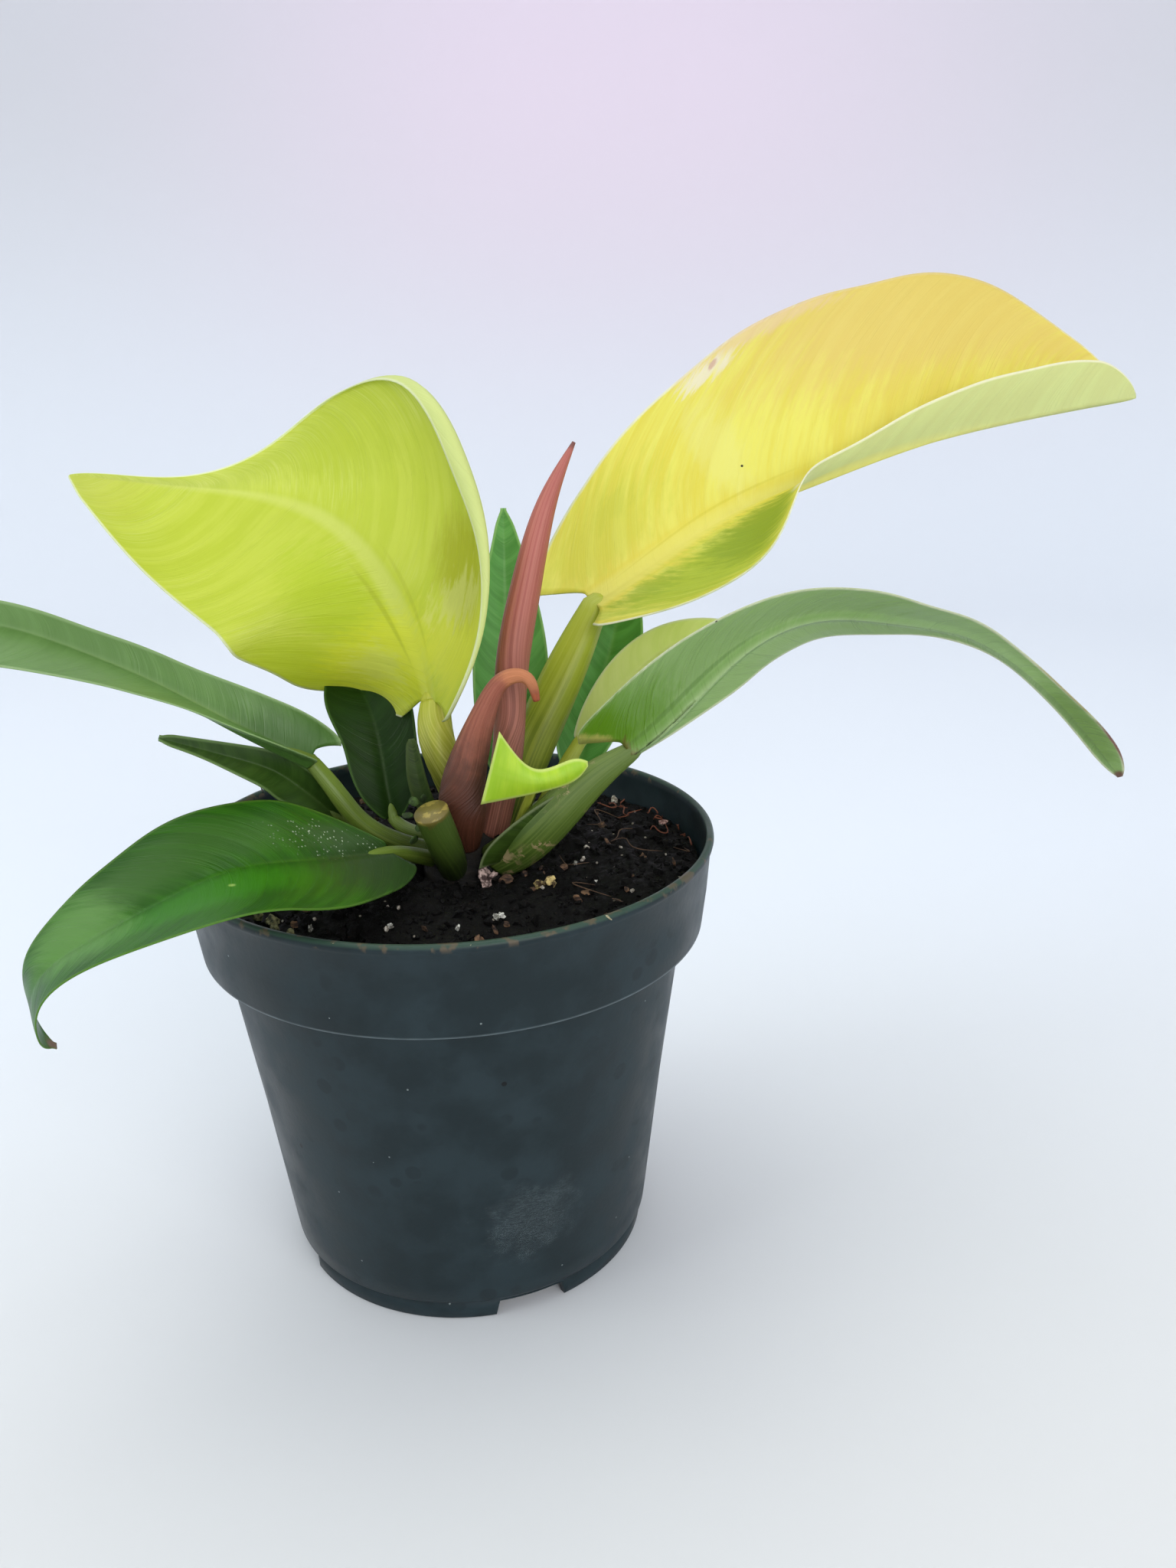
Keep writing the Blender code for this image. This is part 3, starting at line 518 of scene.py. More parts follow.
def lumps(name, places, sizes, material, seed, detail=1, roughness=0.25, flatness=(0.5, 1.0)):
    """Irregular small lumps, one at each place, as one mesh.

    Each is a ball of flat faces whose points are pushed in or out at random,
    then stretched by its own three sizes and turned at random.
    """
    chance = np.random.default_rng(seed)
    bm = bmesh.new()
    bmesh.ops.create_icosphere(bm, subdivisions=detail, radius=1.0)
    ball = np.array([v.co[:] for v in bm.verts])
    ball_faces = np.array([[v.index for v in f.verts] for f in bm.faces])
    bm.free()
    count = len(places)
    push = 1 + roughness * (chance.random((count, len(ball), 1)) * 2 - 1)
    stretch = chance.uniform(0.6, 1.0, (count, 1, 3))
    stretch[..., 2] *= chance.uniform(*flatness, (count, 1))
    points = ball[None] * push * stretch * np.asarray(sizes)[:, None, None]
    turn = np.linalg.qr(chance.normal(size=(count, 3, 3)))[0]
    turn *= np.sign(np.linalg.det(turn))[:, None, None]
    points = np.einsum("nij,nkj->nki", turn, points) + np.asarray(places)[:, None]
    faces = ball_faces[None] + (np.arange(count) * len(ball))[:, None, None]
    mesh = bpy.data.meshes.new(name)
    mesh.from_pydata((points.reshape(-1, 3) * MM).tolist(), [], faces.reshape(-1, 3).tolist())
    mesh.materials.append(material)
    made = bpy.data.objects.new(name, mesh)
    bpy.context.scene.collection.objects.link(made)
    return made


def scattered(count, seed, inner=9.0, outer=SOIL_WALL_RADIUS - 0.8):
    """Random places over the soil, evenly spread over its area."""
    chance = np.random.default_rng(seed)
    turn = chance.random(count) * 2 * pi
    radius = np.sqrt(chance.uniform((inner / outer) ** 2, 1, count)) * outer
    x = radius * np.cos(turn)
    y = radius * np.sin(turn)
    near = np.hypot(x - CROWN_X, y - CROWN_Y) < HOLE_RADIUS
    height = soil_height(x, y)
    dome = CROWN_RISE * np.sqrt(np.clip(1 - (np.hypot(x - CROWN_X, y - CROWN_Y) / CROWN_RADIUS) ** 2, 0, 1))
    height = np.where(near, CROWN_Z + dome, height)
    return np.stack([x, y, height], axis=-1)


def grainy_finish(name, low, high, scale, detail=3, rough=0.55, along_z=1, edges=None, relief=0.0,
                  depth=0.4, roughness=0.8):
    """Mottled finish between two colours, from a noise that may be pressed together along Z.

    edges are the noise values where the colours start and end, relief is the
    bump's strength, and depth its distance in millimetres.
    """
    material, tree, shader = new_material(name, roughness)
    place = own_place(tree)
    if along_z != 1:
        place = stretched(tree, place, 1, 1, along_z)
    grain = noise(tree, place, scale, detail, rough)
    share = stepped(tree, grain, *edges) if edges else grain
    tree.links.new(mixed(tree, share, low, high), shader.inputs["Base Color"])
    if relief:
        bumped(tree, shader, grain, relief, depth)
    return material


def strewn(name, count, seeds, finish, size, limits, inner=9.0, rise=0.0, **shape):
    """Lumps scattered over the soil and raised a little, mostly small with a few large.

    The three seeds are for the places, the sizes and the shapes. Sizes follow
    a gamma curve of that size, and stay between the limits.
    """
    places = scattered(count, seeds[0], inner) + [0, 0, rise]
    sizes = np.random.default_rng(seeds[1]).gamma(SIZE_SPREAD, size, count).clip(*limits)
    dress(lumps(name, places, sizes, finish, seeds[2], **shape), "potting_soil")


strewn("peat_crumbs", CRUMB_COUNT, (22, 21, 23), soil_material,
       size=0.22, limits=(0.25, 1.9), roughness=0.4)
perlite_material = grainy_finish(
    "perlite", paint(120, 112, 100), paint(214, 208, 196), scale=1500,
    edges=(0.4, 0.65), relief=0.6, depth=0.3,
)
strewn("perlite_grains", PERLITE_COUNT, (31, 32, 33), perlite_material,
       size=0.16, limits=(0.25, 1.2), inner=16.0, rise=0.5, detail=2)
bark_material = grainy_finish(
    "bark_chips", paint(40, 26, 20), paint(122, 92, 66), scale=500, detail=4,
    along_z=4, edges=(0.35, 0.65), relief=0.6, roughness=0.85,
)
strewn("bark_bits", BARK_COUNT, (41, 42, 43), bark_material,
       size=0.35, limits=(0.5, 2.2), inner=15.0, rise=0.4, detail=2, flatness=(0.2, 0.6))


def smooth_line(values, at):
    """Natural cubic spline through evenly spaced values, read at shares 0 to 1."""
    y = np.asarray(values, float)
    count = len(y)
    flat = y.reshape(count, -1)
    if count == 2:
        out = flat[0] + (flat[1] - flat[0]) * np.asarray(at, float)[:, None]
        return out.reshape(len(at), *y.shape[1:])
    matrix = np.zeros((count, count))
    matrix[0, 0] = 1
    matrix[-1, -1] = 1
    inner = np.arange(1, count - 1)
    matrix[inner, inner - 1] = 1
    matrix[inner, inner] = 4
    matrix[inner, inner + 1] = 1
    bend = np.zeros_like(flat)
    bend[1:-1] = 6 * (flat[:-2] - 2 * flat[1:-1] + flat[2:])
    second = np.linalg.solve(matrix, bend)
    place = np.clip(np.asarray(at, float), 0, 1) * (count - 1)
    k = np.minimum(place.astype(int), count - 2)
    t = (place - k)[:, None]
    s = 1 - t
    out = flat[k] * s + flat[k + 1] * t
    out = out + ((s ** 3 - s) * second[k] + (t ** 3 - t) * second[k + 1]) / 6
    return out.reshape(len(at), *y.shape[1:])


def along(points, at):
    """Points at shares of the length of the smooth line through the given ones."""
    fine = smooth_line(points, np.linspace(0, 1, LINE_STEPS))
    run = np.concatenate([[0], np.cumsum(np.linalg.norm(np.diff(fine, axis=0), axis=1))])
    places = np.asarray(at) * run[-1]
    return np.column_stack([np.interp(places, run, fine[:, k]) for k in range(3)])


def unit(vectors):
    """Vectors of length one."""
    return vectors / np.linalg.norm(vectors, axis=-1, keepdims=True)


def directions(points):
    """Unit direction of travel at each point of a line."""
    return unit(np.gradient(points, axis=0))


def thread_rings(points, radius, rows=16, sides=6):
    """Rings of a thin round thread along a smooth line, thinner at both ends."""
    at = np.linspace(0, 1, rows)
    line = along(points, at)
    ahead = directions(line)
    first = unit(np.cross(ahead, THREAD_SIDE))
    second = np.cross(ahead, first)
    angle = np.linspace(0, 2 * pi, sides, endpoint=False)
    thick = radius * (THREAD_END + (1 - THREAD_END) * np.sin(pi * at))[:, None, None]
    ring = first[:, None] * np.cos(angle)[None, :, None] + second[:, None] * np.sin(angle)[None, :, None]
    return line[:, None] + ring * thick


def lying_thread(name, start, chance, finish, step, turns, edge, radius, rise, looseness=0.0):
    """Thin thread that wanders over the soil from start in random steps.

    It keeps edge away from the soil's wall, lies rise above the soil, and is
    lifted by up to looseness more at each of its turns.
    """
    path = np.zeros((turns, 3))
    path[:, :2] = start[:2] + chance.normal(scale=step, size=(turns, 2)).cumsum(axis=0)
    out = np.hypot(path[:, 0], path[:, 1])
    path[:, :2] *= np.minimum(1, (SOIL_WALL_RADIUS - edge) / out)[:, None]
    path[:, 2] = soil_height(path[:, 0], path[:, 1]) + rise
    if looseness:
        path[:, 2] += chance.uniform(0, looseness, turns)
    dress(ring_body(name, thread_rings(path, radius), finish), "potting_soil")


thread_material = grainy_finish("root_threads", paint(30, 20, 15), paint(112, 84, 60), scale=600)
thread_chance = np.random.default_rng(51)
for index, start in enumerate(scattered(THREAD_COUNT, 52, 18.0, SOIL_WALL_RADIUS - 5)):
    lying_thread("root_thread_%d" % index, start, thread_chance, thread_material,
                 step=2.6, turns=4, edge=2, radius=0.13, rise=0.7)


# Loose bits on the potting mix
# A shell-like chip, a flaky tan one, pale clumps, gravel at the left wall, dry
# residue on the rim, seedlings by the cut stub, rusty roots at the right wall
# and a dry wiry tangle at the rim behind. They lie loose, or cling where they are.

RUST_PLACES = [(36, 22), (40, 20), (44, 17), (46, 12), (49, 8), (50.5, 3)]
TANGLE_PATHS = [
    [(-41.5, 31.0, 91.2), (-42.5, 30.5, 94.5), (-44.0, 30.0, 96.6),
     (-41.5, 30.5, 97.2), (-42.0, 30.2, 94.2), (-39.5, 31.5, 92.6)],
    [(-40.5, 31.5, 91.2), (-39.5, 31.0, 94.0), (-41.0, 30.5, 96.0),
     (-43.5, 30.4, 95.0), (-40.5, 30.8, 93.0)],
]


def loose_bits(name, places, sizes, low, high, seed, scale=700, flatness=(0.5, 0.9), roughness=0.3):
    """Lumps at chosen places with a mottled finish between two colours."""
    finish = grainy_finish(
        name + "_finish", low, high, scale, detail=4, rough=0.65, edges=(0.4, 0.6), relief=0.7,
    )
    bits = lumps(name, places, sizes, finish, seed, detail=2, roughness=roughness, flatness=flatness)
    dress(bits, "potting_soil")


loose_bits(
    "shell_chip", [(6.3, -14.2, 85.8), (7.6, -13.8, 86.4)], [2.6, 1.6],
    paint(58, 40, 36), paint(204, 178, 168), 61, flatness=(0.4, 0.5),
)
loose_bits(
    "tan_flakes", [(17.4, -20.3, 86.4), (18.6, -20.6, 87.2), (16.2, -20.0, 86.2)], [1.7, 1.3, 1.2],
    paint(60, 44, 22), paint(206, 184, 120), 62, roughness=0.5,
)
loose_bits(
    "pale_clumps",
    [(7.3, -32.5, 86), (8.4, -32.0, 86), (0.1, -35.7, 86), (24.5, -10.1, 86), (-12.0, -33.0, 86),
     (27.5, -19.4, 86), (-26.5, -31.5, 86)], [1.0, 0.8, 0.6, 0.9, 0.6, 0.5, 0.6],
    paint(90, 88, 80), paint(226, 226, 216), 63, roughness=0.5,
)
loose_bits("pink_grain", [(46.1, 9.6, 86.2)], [1.1], paint(90, 56, 52), paint(206, 168, 160), 64)
loose_bits(
    "wall_gravel", [(-34, -27, 86), (-33, -31, 86), (-30, -33, 86), (-37, -24, 86)], [1.6, 1.3, 1.5, 1.2],
    paint(40, 44, 22), paint(150, 146, 104), 65,
)
loose_bits(
    "rim_residue", [(26.4, -46.6, 90.9), (2, -53.3, 90.9), (-21, -49.3, 90.9)], [0.9, 0.5, 0.5],
    paint(120, 110, 80), paint(210, 204, 170), 66, flatness=(0.25, 0.4),
)
loose_bits(
    "seedlings",
    [(-6.9, -9, 101.2), (-5.0, -9.4, 101.9), (-8.3, -9, 98.4), (-3.4, -9.4, 100.4), (-6.4, -9, 95.6),
     (-7.4, -9.2, 93.2)], [1.3, 1.2, 1.3, 1.0, 1.1, 1.2],
    paint(30, 48, 16), paint(66, 94, 36), 67, scale=250, flatness=(0.3, 0.4), roughness=0.1,
)

rust_material = grainy_finish("rust_roots", paint(46, 22, 14), paint(150, 84, 56), scale=600)
rust_chance = np.random.default_rng(71)
for index in range(2 * len(RUST_PLACES)):
    start = np.array(RUST_PLACES[index // 2])
    lying_thread("rust_root_%d" % index, start, rust_chance, rust_material,
                 step=1.7, turns=5, edge=1, radius=0.16, rise=0.8, looseness=1.2)
tangle_material = grainy_finish(
    "dry_tangle", paint(16, 14, 12), paint(170, 160, 150), scale=900, edges=(0.5, 0.6), roughness=0.6,
)
for index, path in enumerate(TANGLE_PATHS):
    wire = ring_body("tangle_%d" % index, thread_rings(path, radius=0.3, rows=40), tangle_material)
    dress(wire, "potting_soil")


# Crown
# The short brown stem that every leaf rises from, mostly hidden by the stalks
# and by soil that clings to it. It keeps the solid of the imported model.

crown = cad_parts["crown"]
crown.data.materials.clear()
# Its brown bark is painted near black: painted shade among the crowded stalk bases.
crown.data.materials.append(grainy_finish(
    "shaded_crown_bark", paint(9, 8, 6), paint(30, 26, 18), scale=300, detail=4,
    along_z=3, edges=(0.38, 0.66), relief=0.7, depth=0.6, roughness=0.85,
))


# Tall lime leaf
# The youngest full leaf, cupped, on the left: thin chartreuse skin over soft
# tissue, with a pale broad midrib and its right margin rolled inward. Its
# stalk stands on the crown and runs on as the ridge under the blade.

CROWN_GAP = 0.45
BASE_SHARE = 0.6
BASE_ROUND = 0.12
TIP_ROUND = 0.07
LEAST_WIDTH = 0.6
MARGIN_CROWDING = 0.25
LOBE_START = 0.35
LOBE_BEND = 1.3
LOBE_FADE = 7
ROLL_SHARPNESS = 0.3
LEAST_STRIP = 0.3
WAVE_LENGTHS = (6.5, 3.1)
CHANNEL_WIDTH = 1.3
RIDGE_FADE = 1.2
RIDGE_TIP_WIDTH = 0.9
RIDGE_BASE_EXTRA = 1.1
BLADE_THICKNESS = 0.5
MARGIN_THICKNESS = 0.25
MARGIN_TAPER = 3
VEIN_SLANT = 0.45
VEIN_BEND = 0.5
FINE_STEPS = 200
CURL_STEPS = 60
ROLL_COLUMNS = 8


def on_crown(azimuth, elevation):
    """Point just off the crown's dome, at two angles in degrees."""
    turn = radians(azimuth)
    lift = radians(elevation)
    x = CROWN_X + (CROWN_RADIUS + CROWN_GAP) * cos(lift) * cos(turn)
    y = CROWN_Y + (CROWN_RADIUS + CROWN_GAP) * cos(lift) * sin(turn)
    return (x, y, CROWN_Z + (CROWN_RISE + CROWN_GAP) * sin(lift))


def side_values(leaf, what, side, at):
    """A leaf's smooth values for one side, or the ones that both sides share, or zeros."""
    return smooth_line(leaf.get(what + "_" + side, leaf.get(what, (0, 0))), at)


def blade_body(name, leaf, material, rows=110, columns=24, ridge=1.6, wave=0.0, channel=0.4):
    """Thin closed leaf blade with a channel above its midrib and a ridge below.

    Along the midrib each row has a half width, a lift angle at the midrib and
    a curl, the further angle gained out to the margin. A rolled margin adds a
    strip that turns on toward the upper face. Lobes are swept back at the
    base, and wave makes the margins swing up and down. The under face lies one
    thickness inside the upper one, thinner at the margin. The pattern map runs
    along the side veins in x and across the blade in y, in tenths of a metre;
    place holds the share along, the share across and 1 on the upper face, and
    reach the distances to the margin and to the midrib in millimetres.
    """
    even = np.linspace(0, 1, rows + 1)
    at = 0.5 * (even + (1 - np.cos(pi * even)) / 2)
    middle = along(leaf["midrib"], at)
    length = np.linalg.norm(np.diff(along(leaf["midrib"], even), axis=0), axis=1).sum()
    fine = np.linspace(0, 1, FINE_STEPS + 1)
    fine_ahead = directions(along(leaf["midrib"], fine))
    ahead = unit(np.column_stack([np.interp(at, fine, fine_ahead[:, k]) for k in range(3)]))
    right = unit(np.cross(ahead, smooth_line(leaf["faces"], at)))
    above = np.cross(right, ahead)
    from_base = 1 - np.clip(at / BASE_ROUND, 0, 1)
    base = BASE_SHARE + (1 - BASE_SHARE) * np.sqrt(1 - from_base ** 2)
    to_tip = np.clip((at - 1 + TIP_ROUND) / TIP_ROUND, 0, 1)
    tip = np.sqrt(1 - to_tip ** 2)
    outward = np.linspace(0, 1, columns)
    outward = (1 - MARGIN_CROWDING) * outward + MARGIN_CROWDING * np.sin(outward * pi / 2)
    fine_out = np.linspace(0, 1, CURL_STEPS + 1)
    mids = (fine_out[1:] + fine_out[:-1]) / 2
    zero = np.zeros((len(at), 1))
    run = at * length
    halves = {}
    for side, sign in (("left", -1.0), ("right", 1.0)):
        width = np.maximum(side_values(leaf, "wide", side, at) * base * tip, LEAST_WIDTH)
        lift = np.radians(side_values(leaf, "lift", side, at))
        curl = np.radians(side_values(leaf, "curl", side, at))
        slope = lift[:, None] + curl[:, None] * mids[None, :] ** 2
        run_x = np.hstack([zero, np.cumsum(np.cos(slope), axis=1)]) / len(mids)
        run_z = np.hstack([zero, np.cumsum(np.sin(slope), axis=1)]) / len(mids)
        x = np.array([np.interp(outward, fine_out, row) for row in run_x]) * width[:, None]
        z = np.array([np.interp(outward, fine_out, row) for row in run_z]) * width[:, None]
        share = outward
        far = outward[None, :] * width[:, None]
        if "roll_" + side in leaf:
            strip = np.clip(side_values(leaf, "strip", side, at), LEAST_STRIP, None)
            part = np.maximum(strip * tip, 0.02)[:, None] / ROLL_COLUMNS
            turn = np.radians(side_values(leaf, "roll", side, at))
            steps = (np.arange(ROLL_COLUMNS) + 0.5) / ROLL_COLUMNS
            slope = (lift + curl)[:, None] + turn[:, None] * steps[None, :] ** ROLL_SHARPNESS
            x = np.hstack([x, x[:, -1:] + np.cumsum(np.cos(slope), axis=1) * part])
            z = np.hstack([z, z[:, -1:] + np.cumsum(np.sin(slope), axis=1) * part])
            share = np.concatenate([outward, np.ones(ROLL_COLUMNS)])
            far = np.hstack([far, far[:, -1:] + part * (np.arange(ROLL_COLUMNS) + 1)])
        swept = np.clip((share - LOBE_START) / (1 - LOBE_START), 0, 1) ** LOBE_BEND
        back = leaf.get("lobe_" + side, 0.0) * ((1 - at) ** LOBE_FADE)[:, None] * swept[None, :]
        swing = np.sin(run / WAVE_LENGTHS[0] + sign) + 0.5 * np.sin(run / WAVE_LENGTHS[1] + 2 * sign)
        z = z + wave * swing[:, None] * share[None, :] ** 2 * np.sin(pi * at)[:, None]
        z = z - channel * np.exp(-(far / CHANNEL_WIDTH) ** 2) * (1 - at)[:, None]
        points = middle[:, None] + sign * right[:, None] * x[..., None] + above[:, None] * z[..., None]
        points = points - ahead[:, None] * back[..., None]
        reach = far[:, -1:] - far
        signed = sign * far / np.maximum(far[:, -1:], 0.1)
        bent = run[:, None] - VEIN_SLANT * far - VEIN_BEND * far[:, -1:] * np.abs(signed) ** 2.5
        halves[side] = (points, signed, sign * far, reach, bent)
    both = [np.concatenate([a[:, :0:-1], b], axis=1) for a, b in zip(halves["left"], halves["right"])]
    upper, signed, across, reach, bent = both
    facing = unit(np.cross(np.gradient(upper, axis=1), np.gradient(upper, axis=0)))
    swell = np.clip(reach / MARGIN_TAPER, 0, 1)
    thick = MARGIN_THICKNESS + (BLADE_THICKNESS - MARGIN_THICKNESS) * swell
    rib_reach = (RIDGE_TIP_WIDTH + RIDGE_BASE_EXTRA * (1 - at))[:, None]
    rib = ridge * ((1 - at) ** RIDGE_FADE)[:, None] * np.exp(-(np.abs(across) / rib_reach) ** 2)
    under = upper - facing * (thick + rib)[..., None]
    count = upper.shape[1]
    rings = np.concatenate([upper, under[:, ::-1]], axis=1)
    uv = np.stack([bent, across], axis=-1) / 100 + [0, 0.5]
    uv = np.concatenate([uv, uv[:, ::-1], uv[:, :1]], axis=1)
    top = np.stack([at[:, None].repeat(count, axis=1), signed, np.ones_like(signed)], axis=-1)
    low = top * [1, 1, 0]
    place = np.concatenate([top, low[:, ::-1]], axis=1)
    edges = np.stack([reach, np.abs(across), run[:, None] + 0 * reach], axis=-1)
    edges = np.concatenate([edges, edges[:, ::-1]], axis=1)
    return ring_body(name, rings, material, uv, {"place": place, "reach": edges}, caps="strip")


SHEET_EDGE = 1.5


def sheet_body(name, low, high, material, thick=0.5, bulge=0.0, rows=60, columns=16):
    """Thin closed sheet between two smooth lines, its middle pushed out by bulge.

    It carries the same marks as a blade, across running from -1 on the low
    line to 1 on the high one, and 1 on the face that looks toward -Y. Its
    edges grow thinner over their last SHEET_EDGE millimetres.
    """
    at = np.linspace(0, 1, rows)
    share = np.linspace(0, 1, columns)
    first = along(low, at)[:, None]
    second = along(high, at)[:, None]
    grid = first + (second - first) * share[None, :, None]
    facing = unit(np.cross(np.gradient(grid, axis=1), np.gradient(grid, axis=0)))
    if facing[..., 1].mean() > 0:
        facing = -facing
    dome = np.sin(pi * share)[None, :] * np.sin(pi * at)[:, None] ** 0.5
    grid = grid + facing * (bulge * dome)[..., None]
    width = np.linalg.norm(second - first, axis=-1)
    length = np.linalg.norm(np.diff(grid[:, columns // 2], axis=0), axis=1).sum()
    across = (share[None, :] * 2 - 1) + 0 * width
    reach = (1 - np.abs(across)) * width / 2
    edge = np.clip(np.minimum(reach, np.minimum(at, 1 - at)[:, None] * length) / SHEET_EDGE, 0, 1)
    under = grid - facing * (thick * (0.3 + 0.7 * edge))[..., None]
    run = at[:, None] * length + 0 * across
    uv = np.stack([run, across * width / 2], axis=-1) / 100 + [0, 0.5]
    top = np.stack([at[:, None] + 0 * across, across, np.ones_like(across)], axis=-1)
    ends = np.minimum(run, length - run)
    edges = np.stack([np.minimum(reach, ends), np.abs(across) * width / 2, run], axis=-1)
    pairs = ((grid, under), (uv, uv), (top, top * [1, 1, 0]), (edges, edges))
    rings, uv, place, edges = [np.concatenate([a, b[:, ::-1]], axis=1) for a, b in pairs]
    uv = np.concatenate([uv, uv[:, :1]], axis=1)
    return ring_body(name, rings, material, uv, {"place": place, "reach": edges}, caps="strip")


# Leaf skin: bands, silky streaks of painted sheen and side veins along the vein
# direction, a midrib with darker edges, a paler under face and a bright thin margin.
leaf_skin, given, wanted = new_group(
    "leaf_skin",
    {
        "Blade": paint(200, 215, 80), "Shade": paint(170, 195, 60), "Midrib": paint(225, 232, 140),
        "Margin": paint(230, 235, 160), "Under": paint(190, 210, 120), "Midrib Width": 2.5,
        "Vein Share": 0.5, "Sheen Share": 0.3,
    },
    {"Colour": "NodeSocketColor", "Mottle": "NodeSocketFloat", "Height": "NodeSocketFloat"},
)
tree = leaf_skin
pattern = put(tree, "ShaderNodeUVMap", uv_map="pattern").outputs[0]
spot = put(tree, "ShaderNodeAttribute", attribute_name="place").outputs["Vector"]
spot = put(tree, "ShaderNodeSeparateXYZ", {0: spot}).outputs
edges = put(tree, "ShaderNodeAttribute", attribute_name="reach").outputs["Vector"]
edges = put(tree, "ShaderNodeSeparateXYZ", {0: edges}).outputs
place = own_place(tree)
mottle = noise(tree, place, 60, 4)
cloud = noise(tree, place, 32, 3)
# Broad bands of shade.
band = noise(tree, stretched(tree, pattern, 1, 0.16), 26, 3, 0.55)
colour = mixed(tree, stepped(tree, band, 0.4, 0.62), given["Shade"], given["Blade"])
# Silky streaks of painted sheen, pale, in the cloudy parts only.
sheen_streaks = noise(tree, stretched(tree, pattern, 1, 0.045), 240, 3, 0.6)
sheen_patches = times(tree, stepped(tree, cloud, 0.42, 0.62), given["Sheen Share"])
sheen_streak_mask = times(tree, stepped(tree, sheen_streaks, 0.42, 0.7), sheen_patches)
colour = mixed(tree, sheen_streak_mask, colour, given["Midrib"])
# Thin side veins, which end just before the margin.
vein = noise(tree, stretched(tree, pattern, 1, 0.03), 30, 1, 0.4)
vein_line = stepped(tree, calc(tree, "ABSOLUTE", calc(tree, "SUBTRACT", vein, 0.5)), 0.02, 0.0)
vein_mask = times(tree, vein_line, given["Vein Share"])
vein_mask = times(tree, vein_mask, stepped(tree, edges[0], 0.4, 2.5))
colour = mixed(tree, vein_mask, colour, given["Midrib"])
# The under face.
under = mixed(tree, 0.35, given["Under"], colour)
colour = mixed(tree, calc(tree, "SUBTRACT", 1.0, spot[2]), colour, under)
# The midrib, narrower toward the tip, with a darker line on either side.
rib_width = times(tree, given["Midrib Width"], calc(tree, "SUBTRACT", 1.05, spot[0]))
past = calc(tree, "SUBTRACT", edges[1], rib_width)
groove = times(tree, stepped(tree, past, 1.3, 0.1), calc(tree, "SUBTRACT", 0.75, spot[0]))
colour = mixed(tree, groove, colour, given["Shade"])
colour = mixed(tree, times(tree, stepped(tree, past, 0.4, -1.6), 0.7), colour, given["Midrib"])
colour = mixed(tree, stepped(tree, edges[0], 0.7, 0.2), colour, given["Margin"])
tree.links.new(colour, wanted["Colour"])
tree.links.new(mottle, wanted["Mottle"])
relief = calc(tree, "ADD", times(tree, vein_line, -0.35), times(tree, sheen_streaks, 0.5))
relief = calc(tree, "ADD", relief, times(tree, band, 1.6))
relief = calc(tree, "ADD", relief, times(tree, mottle, 0.8))
tree.links.new(relief, wanted["Height"])

UPPER = 1
UNDER = 0
BOTH = None


def leaf_material(name, colours, rib_width=2.5, veins=0.3, sheen_streaks=0.4, shine=(0.35, 0.5), glow=0.3,
                  relief=0.25, gloss=0.4, tint_patches=(), dots=0.0, dust=None):
    """Leaf finish: the leaf skin, then tint patches, dots and dust, and light that comes through.

    colours are Blade, Shade, Midrib, Margin and Under. tint_patches are stains
    and, in places, painted light; each is a colour, its middle and spread in
    shares along and across, how ragged its edge is, how strong it is, and the
    face that it lies on. dust is the middle and spread of a patch of pale
    specks.
    """
    material, tree, shader = new_material(name, shine[0])
    skin = put(tree, "ShaderNodeGroup", node_tree=leaf_skin)
    for key, value in zip(("Blade", "Shade", "Midrib", "Margin", "Under"), colours):
        skin.inputs[key].default_value = paint(*value)
    skin.inputs["Midrib Width"].default_value = rib_width
    skin.inputs["Vein Share"].default_value = veins
    skin.inputs["Sheen Share"].default_value = sheen_streaks
    colour = skin.outputs["Colour"]
    spot = put(tree, "ShaderNodeAttribute", attribute_name="place").outputs["Vector"]
    face = put(tree, "ShaderNodeSeparateXYZ", {0: spot}).outputs[2]
    back = calc(tree, "SUBTRACT", 1.0, face)
    pattern = put(tree, "ShaderNodeUVMap", uv_map="pattern").outputs[0]
    grain = noise(tree, stretched(tree, pattern, 1, 0.35), 60, 5, 0.65)
    for tint, middle, spread, ragged, strength, side in tint_patches:
        mask = times(tree, patch(tree, spot, middle, spread, ragged, grain), strength)
        if side is not BOTH:
            mask = times(tree, mask, face if side == UPPER else back)
        colour = mixed(tree, mask, colour, paint(*tint))
    if dots:
        colour = mixed(tree, specks(tree, 380, dots, 0.12), colour, paint(60, 55, 30))
    if dust:
        dusty = patch(tree, spot, dust[0], dust[1], 2.2, grain)
        mask = times(tree, dusty, specks(tree, 1900, 0.3, 0.32))
        colour = mixed(tree, mask, colour, paint(170, 186, 160))
    tree.links.new(colour, shader.inputs["Base Color"])
    shader.inputs["Specular IOR Level"].default_value = gloss
    tree.links.new(stepped(tree, skin.outputs["Mottle"], 0.3, 0.7, *shine), shader.inputs["Roughness"])
    normal = bumped(tree, shader, skin.outputs["Height"], relief, 0.5)
    through = put(tree, "ShaderNodeBsdfTranslucent", {"Color": colour, "Normal": normal})
    blend = put(tree, "ShaderNodeMixShader", {0: glow, 1: shader.outputs[0], 2: through.outputs[0]})
    tree.links.new(blend.outputs[0], tree.nodes["Material Output"].inputs["Surface"])
    return material


